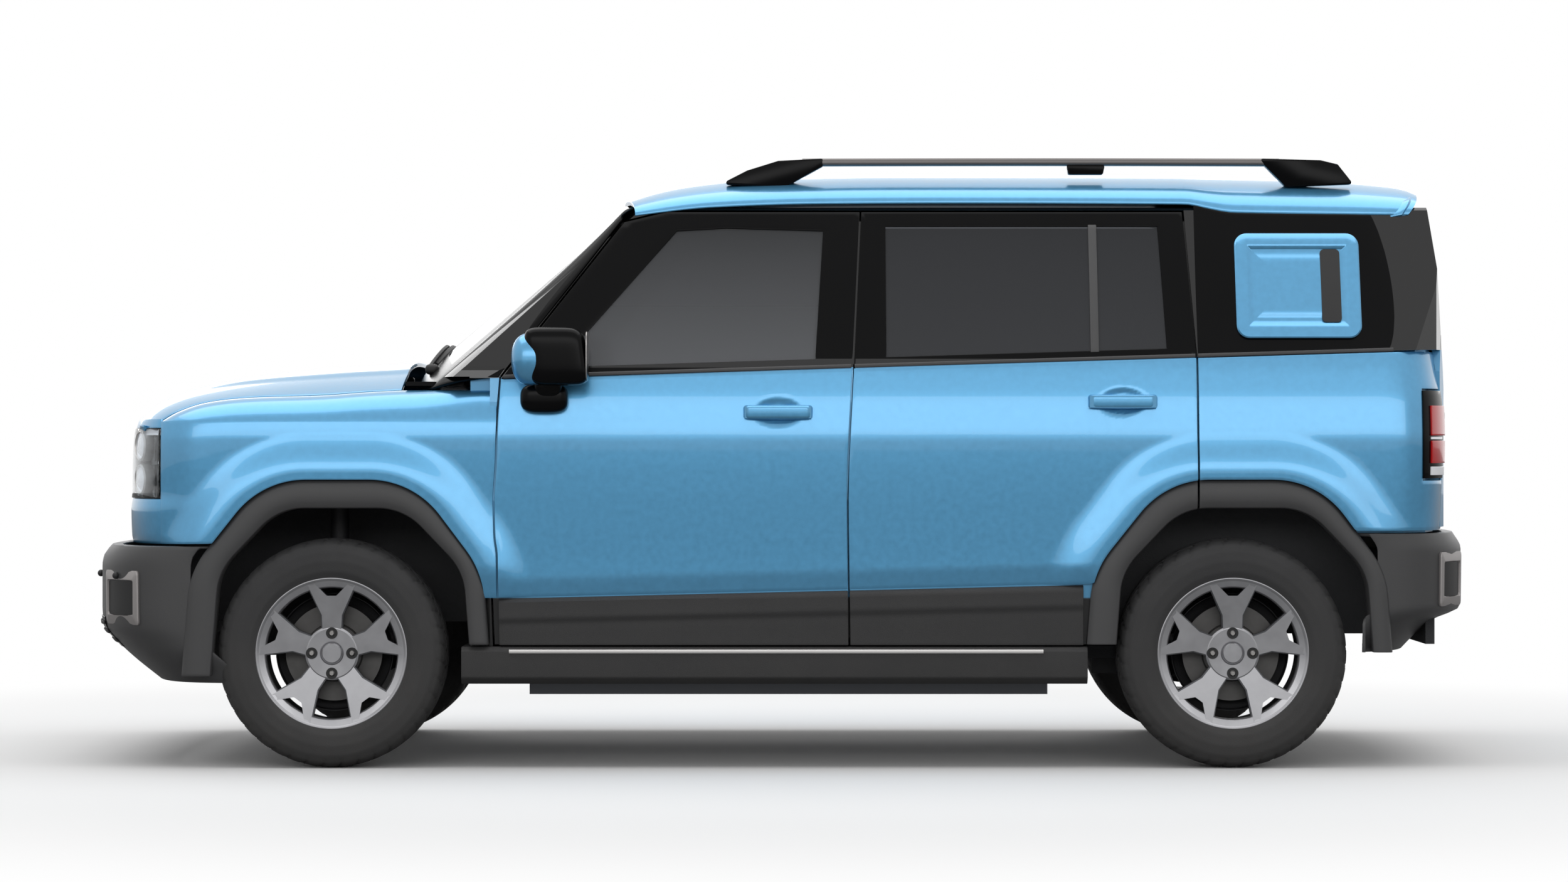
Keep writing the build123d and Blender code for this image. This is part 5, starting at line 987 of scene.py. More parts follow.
@dataclass
class Doors:
    """Side doors: painted skins, black window frames, panes, handles, lower cladding and mirrors."""

    wall: float = 0.005
    rear_x: float = -1.179
    handle_drop: float = 0.122
    handle_x: dict[str, float] = field(default_factory=lambda: {"front": 0.010, "rear": -0.968})
    frame_top: float = 1.587
    sill: float = 0.026

    def front_edge(self, z: Array) -> Array:
        """Front edge of the front door, which bulges forwards at mid height."""
        return smooth_curve(z, [0.34, 0.50, 0.60, 0.66, 0.76, 0.86, 0.92, 0.98, 1.106],
                            [0.800, 0.803, 0.804, 0.811, 0.814, 0.808, 0.806, 0.804, 0.797])

    def b_line(self, z: Array) -> Array:
        """Rear edge of the front door."""
        return smooth_curve(z, [0.34, 0.50, 0.76, 1.13, 1.60], [-0.190, -0.188, -0.185, -0.200, -0.225])

    def low_edge(self, x: Array) -> Array:
        """Lower edge of the painted skins."""
        return SHAPE.cladding_top(x) + 0.002

    def high_edge(self, x: Array) -> Array:
        """Upper edge of the painted skins, at the belt."""
        return SHAPE.belt(x) - 0.004

    def over_belt(self, x: float, rise: float) -> float:
        """Height that lies a rise over the belt line."""
        return float(SHAPE.belt(x)) + rise

    def dished(self, grid: Array, place: str) -> Array:
        """Presses a shallow cup into the skin behind the handle."""
        x, z = self.handle_x[place], self.over_belt(self.handle_x[place], -self.handle_drop)
        reach = ((grid[..., 0] - x) / 0.072) ** 2 + ((grid[..., 2] - z) / 0.040) ** 2
        grid[..., 1] -= 0.006 * smooth_step(1.6 * (1 - reach))
        return grid

    def skin(self, place: str) -> Array:
        """Grid of a left door's painted skin."""
        if place == "front":
            flat = between(self.b_line, self.front_edge, self.low_edge, self.high_edge, 60, 90)
            return self.dished(on_side(flat, SHAPE.side), place)
        arch = SHAPE.arch(SHAPE.rear_axle, SHAPE.arch_band - GAP, SHAPE.arch_rear_band - GAP)
        run = before(after(arch, 0, self.rear_x), 1, float(self.low_edge(-0.878)))
        z = np.linspace(self.low_edge(-0.194), self.high_edge(-0.206), 40)
        right = np.stack([self.b_line(z) - 2 * GAP, z], axis=1)
        bottom = np.vstack([run, [right[0]]])
        top = np.array([[self.rear_x, self.high_edge(self.rear_x)], right[-1]])
        left = np.array([run[0], top[0]])
        return self.dished(on_side(coons(bottom, top, left, right, 60, 90), SHAPE.side), place)

    def frame(self, place: str) -> tuple[Array, list[Array]]:
        """Outer outline of a left door above the belt, and the outlines of its windows."""
        if place == "front":
            outer = [(0.796, self.over_belt(0.797, -0.002)), (0.452, 1.557), (0.330, self.frame_top),
                     (-0.2235, self.frame_top), (-0.2005, self.over_belt(-0.2, -0.002))]
            window = [(0.640, self.over_belt(0.640, self.sill)), (0.300, 1.532), (0.160, 1.540),
                      (-0.119, 1.532), (-0.096, self.over_belt(-0.096, self.sill))]
            return np.array(outer), [np.array(window)]
        outer = [(-0.2060, self.over_belt(-0.206, -0.002)), (-0.2290, self.frame_top),
                 (-1.150, self.frame_top), (self.rear_x, self.over_belt(self.rear_x, -0.002))]
        windows = [
            [(ahead, self.over_belt(ahead, self.sill)), (ahead, 1.546), (high, 1.546),
             (behind, self.over_belt(behind, self.sill))]
            for ahead, high, behind in ((-0.298, -0.880, -0.880), (-0.902, -1.078, -1.096))
        ]
        return np.array(outer), [np.array(window) for window in windows]

    def ring(self, outer: Array, inner: Array, count: int = 26) -> Array:
        """Band between two outlines of as many corners, edge by edge."""
        grid = []
        for index in range(len(outer)):
            after_it = (index + 1) % len(outer)
            first = resample(outer[[index, after_it]], count)[:-1]
            second = resample(inner[[index, after_it]], count)[:-1]
            grid.append(ruled(first, second, np.linspace(0, 1, 6)))
        grid = np.concatenate(grid, axis=1)
        return np.concatenate([grid, grid[:, :1]], axis=1)

    def window_frame(self, place: str, side: str) -> None:
        """Black frame round a door's windows, with the divider of the rear ones and the seal."""
        sign = SIDES[side]
        outer, windows = self.frame(place)
        shell = Shell(f"window_frame_{place}_{side}")
        if place == "front":
            hole = windows[0]
        else:
            hole = np.array([windows[0][0], windows[0][1], windows[1][2], windows[1][3]])
            bar = between(lambda z: -0.903 + 0 * z, lambda z: -0.879 + 0 * z,
                          lambda x: SHAPE.belt(x) + 0.022, lambda x: 1.550 + 0 * x, 30, 4)
            shell.add(placed(on_side(bar, SHAPE.upper_side, 0.001), sign), TRIM_EDGE)
        shell.add(placed(on_side(self.ring(outer, hole), SHAPE.upper_side), sign), PIANO)
        shell.build(f"door_{place}_{side}", "gloss_black", wall=0.010, rim=0.0015)

    def panes(self, place: str, side: str) -> None:
        """Tinted panes, a little behind the frame."""
        sign = SIDES[side]
        _, windows = self.frame(place)
        shell = Shell(f"door_pane_{place}_{side}")
        for outline in windows:
            grow = outline + 0.004 * np.sign(outline - outline.mean(axis=0))
            if place == "front":
                low = np.array([grow[0], grow[4]])
                high = resample(grow[1:4], 40)
                grid = ruled(resample(low, 40), high, np.linspace(0, 1, 24))
            else:
                grid = ruled(resample(grow[[0, 3]], 40), resample(grow[[1, 2]], 40), np.linspace(0, 1, 24))
            glass = GLASS if place == "front" else PRIVACY
            shell.add(placed(on_side(grid, SHAPE.upper_side, -0.0045), sign), glass)
        shell.build(f"door_{place}_{side}", "glass", (f"door_glass_{place}_{side}",), wall=0.004)

    def handle(self, place: str, side: str) -> None:
        """Pull handle: a bar on two posts, in the paint's colour."""
        sign = SIDES[side]
        x, z = self.handle_x[place], self.over_belt(self.handle_x[place], -self.handle_drop)
        base = float(SHAPE.side(np.array(x), np.array(z)))
        path = np.array([(x + 0.088, base - 0.010, z), (x + 0.088, base + 0.0125, z),
                         (x - 0.088, base + 0.0125, z), (x - 0.088, base - 0.010, z)])
        line = resample(rounded(path, 0.022, 10), 60)
        shell = Shell(f"handle_{place}_{side}")
        shell.tube(rounded_section(0.021, 0.040, 0.0095, 6), placed(line, sign), PAINT)
        shell.build(f"door_{place}_{side}", "paint", closed=True)

    def cladding(self, place: str, side: str) -> None:
        """Lower cladding with a raised upper facet; a rear door also carries its part of the arch trim."""
        sign = SIDES[side]
        front = self.front_edge if place == "front" else (lambda z: self.b_line(z) - 2 * GAP)
        rear = self.b_line if place == "front" else (lambda z: -0.856 + 0 * z)
        flat = between(rear, front, lambda x: 0.350 + 0 * x, SHAPE.cladding_top, 24, 60)
        low = SHAPE.cladding_top(flat[..., 0]) - flat[..., 1]
        bulge = 0.010 * smooth_step(low / 0.012) - 0.006 * smooth_step((low - 0.055) / 0.02)
        y = 0.858 + bulge + 0.004 * smooth_step(low / 0.1)
        grid = np.stack([flat[..., 0], y, flat[..., 1]], axis=-1)
        shell = Shell(f"door_cladding_skin_{place}_{side}")
        shell.add(placed(grid, sign), CLADDING)
        if place == "rear":
            ring = TRIMS.ring(SHAPE.rear_axle, (0, self.rear_x), (1, 0.352))
            shell.add(placed(ring, sign), TRIM_EDGE)
        node = f"door_cladding_{place}_{side}"
        shell.build(f"door_{place}_{side}", "cladding", (node,), wall=0.006, rim=0.002)

    def mirror(self, side: str) -> None:
        """Door mirror: a painted cap in front of a black housing, on a black foot."""
        sign = SIDES[side]
        shell = Shell(f"mirror_housing_{side}")
        body = pillow((0.634, 0.934, 1.1675), (0.086, 0.064, 0.082), 5.0, 40, 72)
        body[..., 0] += 0.010 * (body[..., 2] - 1.1675) / 0.082
        shell.add(placed(body, sign), PIANO, (0.634, sign * 0.934, 1.17))
        shell.lump(PIANO, (0.672, 0.874, 1.050), (0.068, 0.040, 0.042), 3.2, 30, 48, sign)
        shell.lump(PIANO, (0.660, 0.892, 1.090), (0.040, 0.030, 0.040), 3.0, 24, 40, sign)
        shell.build(f"door_front_{side}", "gloss_black", (f"mirror_{side}",), closed=True)
        cap = Shell(f"mirror_cap_{side}")
        cap.lump(PAINT, (0.706, 0.936, 1.160), (0.056, 0.062, 0.074), 2.4, 36, 60, sign)
        cap.build(f"door_front_{side}", "paint", closed=True)
        glass = Shell(f"mirror_glass_{side}")
        glass.lump(STEEL, (0.5485, 0.934, 1.1675), (0.003, 0.054, 0.070), 5.0, 16, 40, sign)
        glass.build(f"door_front_{side}", "wheel_alloy", closed=True)

    def build(self) -> None:
        """Builds all four doors and both mirrors."""
        for side, sign in SIDES.items():
            for place in ENDS:
                skin = Shell(f"door_skin_{place}_{side}").add(placed(self.skin(place), sign), PAINT)
                skin.build(f"door_{place}_{side}", "paint", wall=self.wall, rim=0.0015)
                self.window_frame(place, side)
                self.panes(place, side)
                self.handle(place, side)
                self.cladding(place, side)
            self.mirror(side)


@dataclass
class Trims:
    """Arch trims, rockers and the beads along the belt."""

    def ring(self, axle: float, rear_cut: tuple[int, float], front_cut: tuple[int, float]) -> Array:
        """Rounded band between the arch's inner and outer outlines, drawn as a profile over the two.

        Args:
            axle: X of the arch's axle.
            rear_cut: Coordinate (0 for X, 1 for height) and value at which the band starts.
            front_cut: Coordinate and value at which it ends.

        Returns:
            Grid across the band and along the arch.
        """
        lines = (SHAPE.arch(axle, 0.0, 0.0), SHAPE.arch(axle, SHAPE.arch_band, SHAPE.arch_rear_band))
        inner, outer = (resample(before(after(line, *rear_cut), *front_cut), 160) for line in lines)
        share = np.array([0.0, 0.0, 0.03, 0.30, 0.80, 0.93, 1.0, 1.0])[:, None, None]
        out = np.array([0.800, 0.868, 0.876, 0.881, 0.879, 0.874, 0.868, 0.850])[:, None]
        line = inner + share * (outer - inner)
        return np.stack([line[..., 0], out + 0 * line[..., 0], line[..., 1]], axis=-1)

    def arches(self) -> None:
        """Arch trims: whole rings in front, and behind the part that stays with the body."""
        shell = Shell("arch_trim_rings")
        shell.pair(self.ring(SHAPE.front_axle, (1, 0.352), (1, 0.262)), TRIM_EDGE)
        shell.pair(self.ring(SHAPE.rear_axle, (1, 0.330), (0, DOORS.rear_x - 2 * GAP)), TRIM_EDGE)
        shell.build("body", "cladding", ("arch_trims",), wall=0.006, rim=0.002)

    def rockers(self) -> None:
        """Rockers under the doors, each with a bright strip along its upper edge."""
        x = np.linspace(-0.868, 0.908, 90)
        profile = rounded([(0.640, 0.250), (0.855, 0.240), (0.872, 0.258), (0.872, 0.334), (0.862, 0.346),
                           (0.640, 0.346)], [0, 0.006, 0.012, 0.010, 0.006, 0], 4)
        y, z = profile[:, 0][:, None], profile[:, 1][:, None]
        grid = np.stack([x + 0 * y, y + 0 * x, z + 0 * x], axis=-1)
        shell = Shell("rocker_skins").pair(grid, CLADDING, (0.0, 0.75, 0.30))
        shell.build("body", "cladding", ("rockers",), wall=0.005, rim=0.002)
        strip = Shell("rocker_strips")
        path = np.stack([np.linspace(-0.742, 0.772, 60), np.full(60, 0.8725), np.full(60, 0.3325)], axis=1)
        for sign in SIDES.values():
            strip.tube(rounded_section(0.010, 0.0125, 0.004), placed(path, sign), SILVER)
        strip.build("body", "cladding", closed=True)

    def beads(self) -> None:
        """Thin dark beads along the belt, one on each door and one on the quarter behind."""
        for side, sign in SIDES.items():
            for name, body, first, last in (
                ("front", f"door_front_{side}", 0.790, -0.198), ("rear", f"door_rear_{side}", -0.208, -1.176),
                ("quarter", "body", -1.184, -1.740),
            ):
                x = np.linspace(first, last, 50)
                z = SHAPE.belt(x) + 0.003
                path = np.stack([x, SHAPE.upper_side(x, z) + 0.001, z], axis=1)
                bead = Shell(f"belt_bead_{name}_{side}")
                bead.tube(rounded_section(0.008, 0.011, 0.003), placed(path, sign), TRIM_EDGE)
                bead.build(body, "cladding", closed=True)

    def build(self) -> None:
        """Builds every trim piece."""
        self.arches()
        self.rockers()
        self.beads()


@dataclass
class RearEnd:
    """Rear quarters, side boxes, tail lamps, tailgate and rear bumper."""

    wall: float = 0.005
    front_x: float = -1.184
    share_end: float = 0.870
    lamp_x: float = -1.822
    lamp_low: float = 0.822
    lamp_high: float = 1.074
    bumper_power: float = 3.4
    bumper_half: float = 0.868
    bumper_reach: float = 0.34
    gate_lean: float = 0.175
    arch_x: float = -1.655

    def end_x(self, z: Array) -> Array:
        """X at which a side surface ends against the tailgate."""
        return SHAPE.tail(z) + SHAPE.tail_reach * (1 - self.share_end)

    def quarters(self) -> None:
        """Painted quarters below the belt, which wrap the corner and leave room for the lamps."""
        arch = SHAPE.arch(SHAPE.rear_axle, SHAPE.arch_band - GAP, SHAPE.arch_rear_band - GAP)
        run = before(after(arch, 1, 0.674), 0, self.front_x)[::-1]
        bottom = np.vstack([run, [[self.lamp_x, 0.674]]])
        high = SHAPE.belt(self.lamp_x) - 0.004
        top = np.array([[self.front_x, SHAPE.belt(self.front_x) - 0.004], [self.lamp_x, high]])
        side = coons(bottom, top, np.array([run[0], top[0]]), np.array([bottom[-1], top[-1]]), 44, 80)
        rows = side[:, -1, 1][:, None]
        out = np.linspace(0, 1, 22)[None]
        x = self.lamp_x + out * (self.end_x(rows) - self.lamp_x)
        corner = np.stack([x, rows + 0 * x], axis=-1)
        middle = (rows[1:] + rows[:-1]) / 2 + 0 * x[1:, 1:]
        shell = Shell("rear_quarter_skins")
        shell.pair(on_side(side, SHAPE.side), PAINT)
        keep = (middle < self.lamp_low) | (middle > self.lamp_high)
        for sign in SIDES.values():
            shell.add(placed(on_side(corner, SHAPE.side), sign), PAINT, keep=keep)
        shell.build("body", "paint", ("rear_quarters",), wall=self.wall, rim=0.0015)

    def lamps(self) -> None:
        """Tail lamps: a black case with two red bars, a thin white one between them and a white one below."""
        shell = Shell("tail_lamp_cases")
        for sign in SIDES.values():
            for low, high, first, last, depth, finish in (
                (0.823, 1.073, 0.0, 1.0, 0.003, PIANO), (0.945, 1.030, 0.30, 0.98, 0.009, RED),
                (0.866, 0.930, 0.30, 0.98, 0.009, RED), (0.934, 0.941, 0.30, 0.80, 0.008, WHITE_LENS),
                (0.832, 0.856, 0.30, 0.98, 0.008, WHITE_LENS),
            ):
                z = np.linspace(low, high, 16)[:, None]
                out = np.linspace(first, last, 20)[None]
                x = self.lamp_x + out * (self.end_x(z) - self.lamp_x)
                grid = on_side(np.stack([x, z + 0 * x], axis=-1), SHAPE.side)
                outward = grid - np.array([-1.60, 0.55, 0.0])
                outward[..., 2] = 0
                grid += depth * outward / np.linalg.norm(outward, axis=-1, keepdims=True)
                shell.add(placed(grid, sign), finish)
        shell.build("body", "lamp_red", ("tail_lamps",), wall=0.006, rim=0.0015)

    def upper(self) -> None:
        """Gloss black panels behind the rear doors, from the belt to the roof."""
        flat = between(self.end_x, lambda z: self.front_x + 0 * z, SHAPE.belt,
                       lambda x: SHAPE.roof_edge(x) + 0.004, 40, 70)
        shell = Shell("rear_upper_panels").pair(on_side(flat, SHAPE.upper_side), PIANO)
        shell.build("body", "gloss_black", wall=self.wall, rim=0.0015)

    def boxes(self) -> None:
        """Painted boxes on the black panels: a raised rounded frame round a pressed panel with a slot."""
        shell, slot = Shell("side_box_frames"), Shell("side_box_slots")
        low, high = (-1.652, 1.222), (-1.296, 1.524)
        steps = [(0.0, -0.004), (0.0, 0.010), (0.004, 0.0135), (0.030, 0.0145), (0.038, 0.012),
                 (0.046, 0.006), (0.060, 0.005), (0.066, 0.008), (0.084, 0.0085), (0.130, 0.0085)]
        flat = loft([inset_box(low, high, inset, 0.036) for inset, _ in steps])
        proud = np.array([rise for _, rise in steps])[:, None]
        hole = inset_box((-1.596, 1.268), (-1.540, 1.478), 0.0, 0.012)
        middle = hole.mean(axis=0)
        edge = loft([hole, middle + 0.9 * (hole - middle), 0 * hole + middle])
        for sign in SIDES.values():
            grid = placed(on_side(flat, SHAPE.upper_side, proud), sign)
            centre = np.broadcast_to(grid[-1:, :-1].mean(axis=1, keepdims=True), grid[-1:].shape)
            shell.add(np.concatenate([grid, centre]), PAINT)
            slot.add(placed(on_side(edge, SHAPE.upper_side, 0.0105), sign), SEAL)
        shell.build("body", "paint", ("side_boxes",), wall=0.003)
        slot.build("body", "gloss_black", wall=0.002)

    def back(self, first: float, last: float, low: float, high: float, proud: float = 0.0, rows: int = 40,
             columns: int = 60, lean: float = 0.0) -> Array:
        """Part of the tail's face between two distances from the middle and two heights."""
        z = np.linspace(low, high, rows)[:, None]
        y = np.linspace(first, last, columns)[None] * (1 - lean * smooth_step((z - SHAPE.belt_height) / 0.46))
        up = np.clip((z - SHAPE.belt_height) / SHAPE.glass_height, 0, 1)
        half = SHAPE.section(np.minimum(z, 1.12)) - SHAPE.glass_lean * up
        x = SHAPE.tail(z) + SHAPE.tail_setback(y, half) - proud
        return np.stack([x, y + 0 * z, z + 0 * y], axis=-1)

    def tailgate(self) -> None:
        """Tailgate: painted below the belt, black round its glass, with a handle and a wiper."""
        skin = Shell("tailgate_skin")
        skin.add(self.back(-0.684, 0.684, 0.676, 1.130), PAINT)
        skin.build("tailgate", "paint", wall=0.006, rim=0.002)
        upper = Shell("tailgate_frame")
        for low, high in ((1.132, 1.214), (1.540, 1.592)):
            upper.add(self.back(-0.688, 0.688, low, high, 0.0, 10, 60, self.gate_lean), PIANO)
        for sign in SIDES.values():
            upper.add(self.back(sign * 0.590, sign * 0.688, 1.214, 1.540, 0.0, 40, 10, self.gate_lean), PIANO)
        upper.build("tailgate", "gloss_black", wall=0.008, rim=0.002)
        pane = self.back(-0.600, 0.600, 1.208, 1.546, -0.004, 30, 50, self.gate_lean)
        Shell("back_pane").add(pane, PRIVACY).build("tailgate", "glass", ("tailgate_glass",), wall=0.004)
        fittings = Shell("tailgate_fittings")
        fittings.lump(PIANO, (-1.924, 0.440, 1.00), (0.012, 0.075, 0.020), 4.0, 16, 30)
        arm = np.array([(-1.921, 0.0, 1.196), (-1.915, -0.18, 1.240), (-1.903, -0.38, 1.300)])
        fittings.tube(rounded_section(0.010, 0.014, 0.003), resample(arm, 20), SEAL, (1.0, 0.0, 0.0))
        fittings.lump(SEAL, (-1.924, 0.0, 1.196), (0.016, 0.026, 0.020), 3.0, 16, 24)
        fittings.build("tailgate", "gloss_black", closed=True)

    def bumper_face(self, z: Array) -> Array:
        """Rearmost X of the bumper at a height."""
        return smooth_curve(z, [0.306, 0.410, 0.452, 0.618, 0.668], [-1.800, -1.910, -1.994, -1.996, -1.970])

    def bumper_point(self, share: Array, z: Array, proud: float = 0.0) -> Array:
        """Point on the rear bumper: the share runs from -1 at the right arch to 1 at the left one."""
        angle = share * (pi / 2 - 0.02)
        n = 2 / self.bumper_power
        across = np.sin(np.abs(angle)) ** n * np.sign(share)
        x = self.bumper_face(z) + self.bumper_reach - (self.bumper_reach + proud) * np.cos(angle) ** n
        x = np.minimum(x, self.arch_x)
        return np.stack([x, (self.bumper_half + proud) * across, z + 0 * share], axis=-1)

    def bumper(self) -> None:
        """Rear bumper moulding, from its lower edge to the ledge on its top."""
        z = np.concatenate([[0.330], np.linspace(0.352, 0.640, 26), [0.656, 0.666]])[:, None]
        share = np.linspace(-1, 1, 161)[None]
        grid = self.bumper_point(share + 0 * z, z + 0 * share)
        ledge = grid[-1] * np.array([1.0, 0.985, 1.0]) + np.array([0.03, 0, 0.001])
        face = Shell("rear_bumper_skin").add(np.concatenate([grid, ledge[None]]), TRIM_EDGE)
        face.build("body", "cladding", ("rear_bumper",), wall=0.008, rim=0.003)

    def build(self) -> None:
        """Builds every piece of the rear."""
        self.quarters()
        self.lamps()
        self.upper()
        self.boxes()
        self.tailgate()
        self.bumper()


@dataclass
class Hoops:
    """Silver grey loops on the four corners of the bumpers, each round a dark panel, and the plates."""

    half_width: float = 0.88
    front_span: tuple[float, float] = (0.50, 0.80)
    rear_span: tuple[float, float] = (0.42, 0.70)
    plate_x: float = 1.9995

    def corner(self, make: Callable[[Array, Array, float], Array], sign: float, span: tuple[float, float],
               low: float, high: float) -> tuple[Array, Array]:
        """Loop and inner panel on one corner.

        Args:
            make: Function from share, height and rise to a point on the bumper.
            sign: Side of the vehicle.
            span: Inner and outer end, as shares of the half width.
            low: Lower edge.
            high: Upper edge.

        Returns:
            The loop's grid and the panel's grid.
        """
        first, last = span
        half = np.array([(last - first) / 2 * self.half_width, (high - low) / 2])
        box = inset_box((first, low), (last, high), 0.0, 0.012)
        middle = np.array([(first + last) / 2, (low + high) / 2])
        loops = []
        for inset, rise in ((0.0, 0.0), (0.0, 0.006), (0.004, 0.008), (0.026, 0.008), (0.030, 0.002)):
            ring = middle + (box - middle) * (1 - inset / half)
            loops.append(make(sign * ring[:, 0], ring[:, 1], rise))
        grid = loft(loops)
        share = np.linspace(first + 0.032, last - 0.032, 20)[None]
        z = np.linspace(low + 0.028, high - 0.028, 12)[:, None]
        return grid, make(sign * share + 0 * z, z + 0 * share, 0.003)

    def build(self) -> None:
        """Builds the four loops and both plates."""
        shell = Shell("bumper_loops")
        for make, span, low, high in (
            (FRONT.bumper_point, self.front_span, 0.406, 0.560),
            (REAR.bumper_point, self.rear_span, 0.458, 0.612),
        ):
            for sign in SIDES.values():
                loop, panel = self.corner(make, sign, span, low, high)
                shell.add(loop, HOOP)
                shell.add(panel, SEAL)
        shell.build("body", "silver_trim", ("bumper_hoops",), wall=0.002)
        plates = Shell("blank_plates")
        half_thick = np.array([0.0015, 0, 0])
        for x, low in ((self.plate_x, 0.430), (-self.plate_x, 0.462)):
            loop = inset_box((-0.220, low), (0.220, low + 0.120), 0.0, 0.008)
            face = np.stack([x + 0 * loop[:, 0], loop[:, 0], loop[:, 1]], axis=1)
            plates.prism(face - half_thick, face + half_thick, PLATE)
        plates.build("body", "plate", ("plates",), closed=True)


@dataclass
class Roof:
    """Roof skin, spoiler, windscreen, pillars, rails and wipers."""

    power: float = 2.35
    tail_x: float = -1.846
    foot: tuple[float, float] = (1.050, 1.152)
    head: tuple[float, float] = (0.466, 1.634)
    foot_half: float = 0.745
    head_half: float = 0.604
    bow: float = 3.4
    rail_y: float = 0.584
    foot_thick: float = 0.035

    def skin(self) -> None:
        """Painted roof: each section is a superellipse from the side edge to the middle line."""
        share = np.linspace(0, 1, 96)[:, None]
        angle = np.linspace(0, pi, 80)[None]
        across = np.sign(np.cos(angle)) * np.abs(np.cos(angle)) ** (2 / self.power)
        rise = np.sin(angle) ** (2 / self.power)
        front = 0.474 - (0.60 * across) ** 2 / (2 * self.bow)
        rear = self.tail_x + 0.045 * (1 - rise) ** 2
        x = rear + share * (front - rear)
        edge, top = SHAPE.roof_edge(x), SHAPE.roof_line(x)
        skin = np.stack([x, SHAPE.glasshouse(edge) * across, edge + (top - edge) * rise], axis=-1)
        tail = skin[0]
        under_z = np.minimum(tail[:, 2] - 0.012, 1.602)
        under = np.stack([tail[:, 0] + 0.060, tail[:, 1] * 0.975, under_z], axis=-1)
        lip = ruled(under, tail, np.linspace(0, 1, 5))[:-1]
        roof = Shell("roof_skin").add(np.concatenate([lip, skin]), PAINT)
        roof.build("body", "paint", ("roof",), wall=0.014, rim=0.002)

    def screen_point(self, across: Array, up: Array, proud: float = 0.0) -> Array:
        """Point of the screen: across runs from -1 to 1 between its edges, up from 0 at the foot to 1."""
        slope = np.array([self.head[0] - self.foot[0], self.head[1] - self.foot[1]])
        length = np.linalg.norm(slope)
        half = self.foot_half + (self.head_half - self.foot_half) * up
        y = across * half
        back = y**2 / (2 * self.bow) - proud
        x = self.foot[0] + slope[0] * up - back * slope[1] / length
        z = self.foot[1] + slope[1] * up + back * slope[0] / length
        return np.stack([x, y, z], axis=-1)

    def screen(self) -> None:
        """Windscreen with its dark border."""
        across = np.linspace(-1, 1, 61)[None]
        up = np.linspace(0, 1, 41)[:, None]
        grid = self.screen_point(across + 0 * up, up + 0 * across, 0.001)
        middle = np.abs((across[:, 1:] + across[:, :-1]) / 2) + 0 * up[1:]
        level = (up[1:] + up[:-1]) / 2 + 0 * middle
        border = (middle > 0.93) | (level > 0.93) | (level < 0.10)
        pane = Shell("windscreen_pane").add(grid, SCREEN, keep=~border)
        pane.build("body", "glass", ("windscreen",), wall=0.005)
        frit = Shell("windscreen_border").add(grid, PIANO, keep=border)
        frit.build("body", "gloss_black", wall=0.005)

    def pillars(self) -> None:
        """Black pillars between the screen and the doors: curved strips from edge to edge."""
        up = np.linspace(-0.03, 1.03, 40)
        inner = self.screen_point(1.0 + 0 * up, up, 0.001)
        x = 0.797 + (0.452 - 0.797) * np.clip(up, 0, 1) + 0.008
        z = 1.108 + (1.560 - 1.108) * np.clip(up, 0, 1) + 0.004
        outer = np.stack([x, SHAPE.glasshouse(z), z], axis=1)
        bend = (inner + outer) / 2 + np.array([0.030, 0.030, 0.012])
        t = np.linspace(0, 1, 10)[:, None, None]
        grid = (1 - t) ** 2 * inner + 2 * t * (1 - t) * bend + t**2 * outer
        shell = Shell("pillar_strips").pair(grid, PIANO)
        shell.build("body", "gloss_black", wall=0.008, rim=0.001)

    def rails(self) -> None:
        """Roof rails: a satin bar on black feet and a middle post."""
        bars, feet = Shell("rail_bars"), Shell("rail_feet")
        x = np.linspace(-1.440, -0.060, 80)
        z = 1.734 + 0.003 * np.cos((x + 0.75) / 0.7)
        path = np.stack([x, self.rail_y + 0 * x, z], axis=1)
        for sign in SIDES.values():
            bars.tube(rounded_section(0.034, 0.022, 0.008), placed(path, sign), RAIL_SILVER)
            for outline in (
                [(0.178, 1.672), (0.100, 1.712), (0.010, 1.740), (-0.120, 1.747), (-0.120, 1.724),
                 (-0.010, 1.664)],
                [(-0.830, 1.700), (-0.824, 1.728), (-0.936, 1.728), (-0.930, 1.700)],
                [(-1.656, 1.672), (-1.610, 1.730), (-1.560, 1.742), (-1.380, 1.747), (-1.400, 1.724),
                 (-1.460, 1.664)],
            ):
                loop = rounded(outline, 0.006, 4, closed=True)
                near, far = (np.stack([loop[:, 0], sign * y + 0 * loop[:, 0], loop[:, 1]], axis=1)
                             for y in (self.rail_y - self.foot_thick / 2, self.rail_y + self.foot_thick / 2))
                feet.prism(near, far, PIANO)
        bars.build("body", "silver_trim", ("roof_rails",), closed=True)
        feet.build("body", "gloss_black", closed=True, rim=0.003)

    def wipers(self) -> None:
        """Two wipers parked at the foot of the screen."""
        shell = Shell("wipers")
        for pivot, tip in ((0.52, -0.10), (-0.12, -0.70)):
            across = np.linspace(pivot, tip, 24) / self.foot_half
            up = 0.02 + 0.05 * np.sin(np.linspace(0, pi, 24)) + np.linspace(0, 0.05, 24)
            path = self.screen_point(across, up, 0.018)
            shell.tube(rounded_section(0.012, 0.010, 0.003), path, SEAL, (1.0, 0.0, 0.4))
            along = np.linspace(pivot - 0.10, tip - 0.02, 24) / self.foot_half
            blade = self.screen_point(along, up + 0.02, 0.006)
            shell.tube(rounded_section(0.006, 0.014, 0.002), blade, SEAL, (1.0, 0.0, 0.4))
            foot = self.screen_point(np.array(pivot / self.foot_half), np.array(0.02), 0.008)
            shell.lump(SEAL, tuple(foot), (0.020, 0.020, 0.016), 2.6, 12, 20)
        shell.build("body", "gloss_black", closed=True)

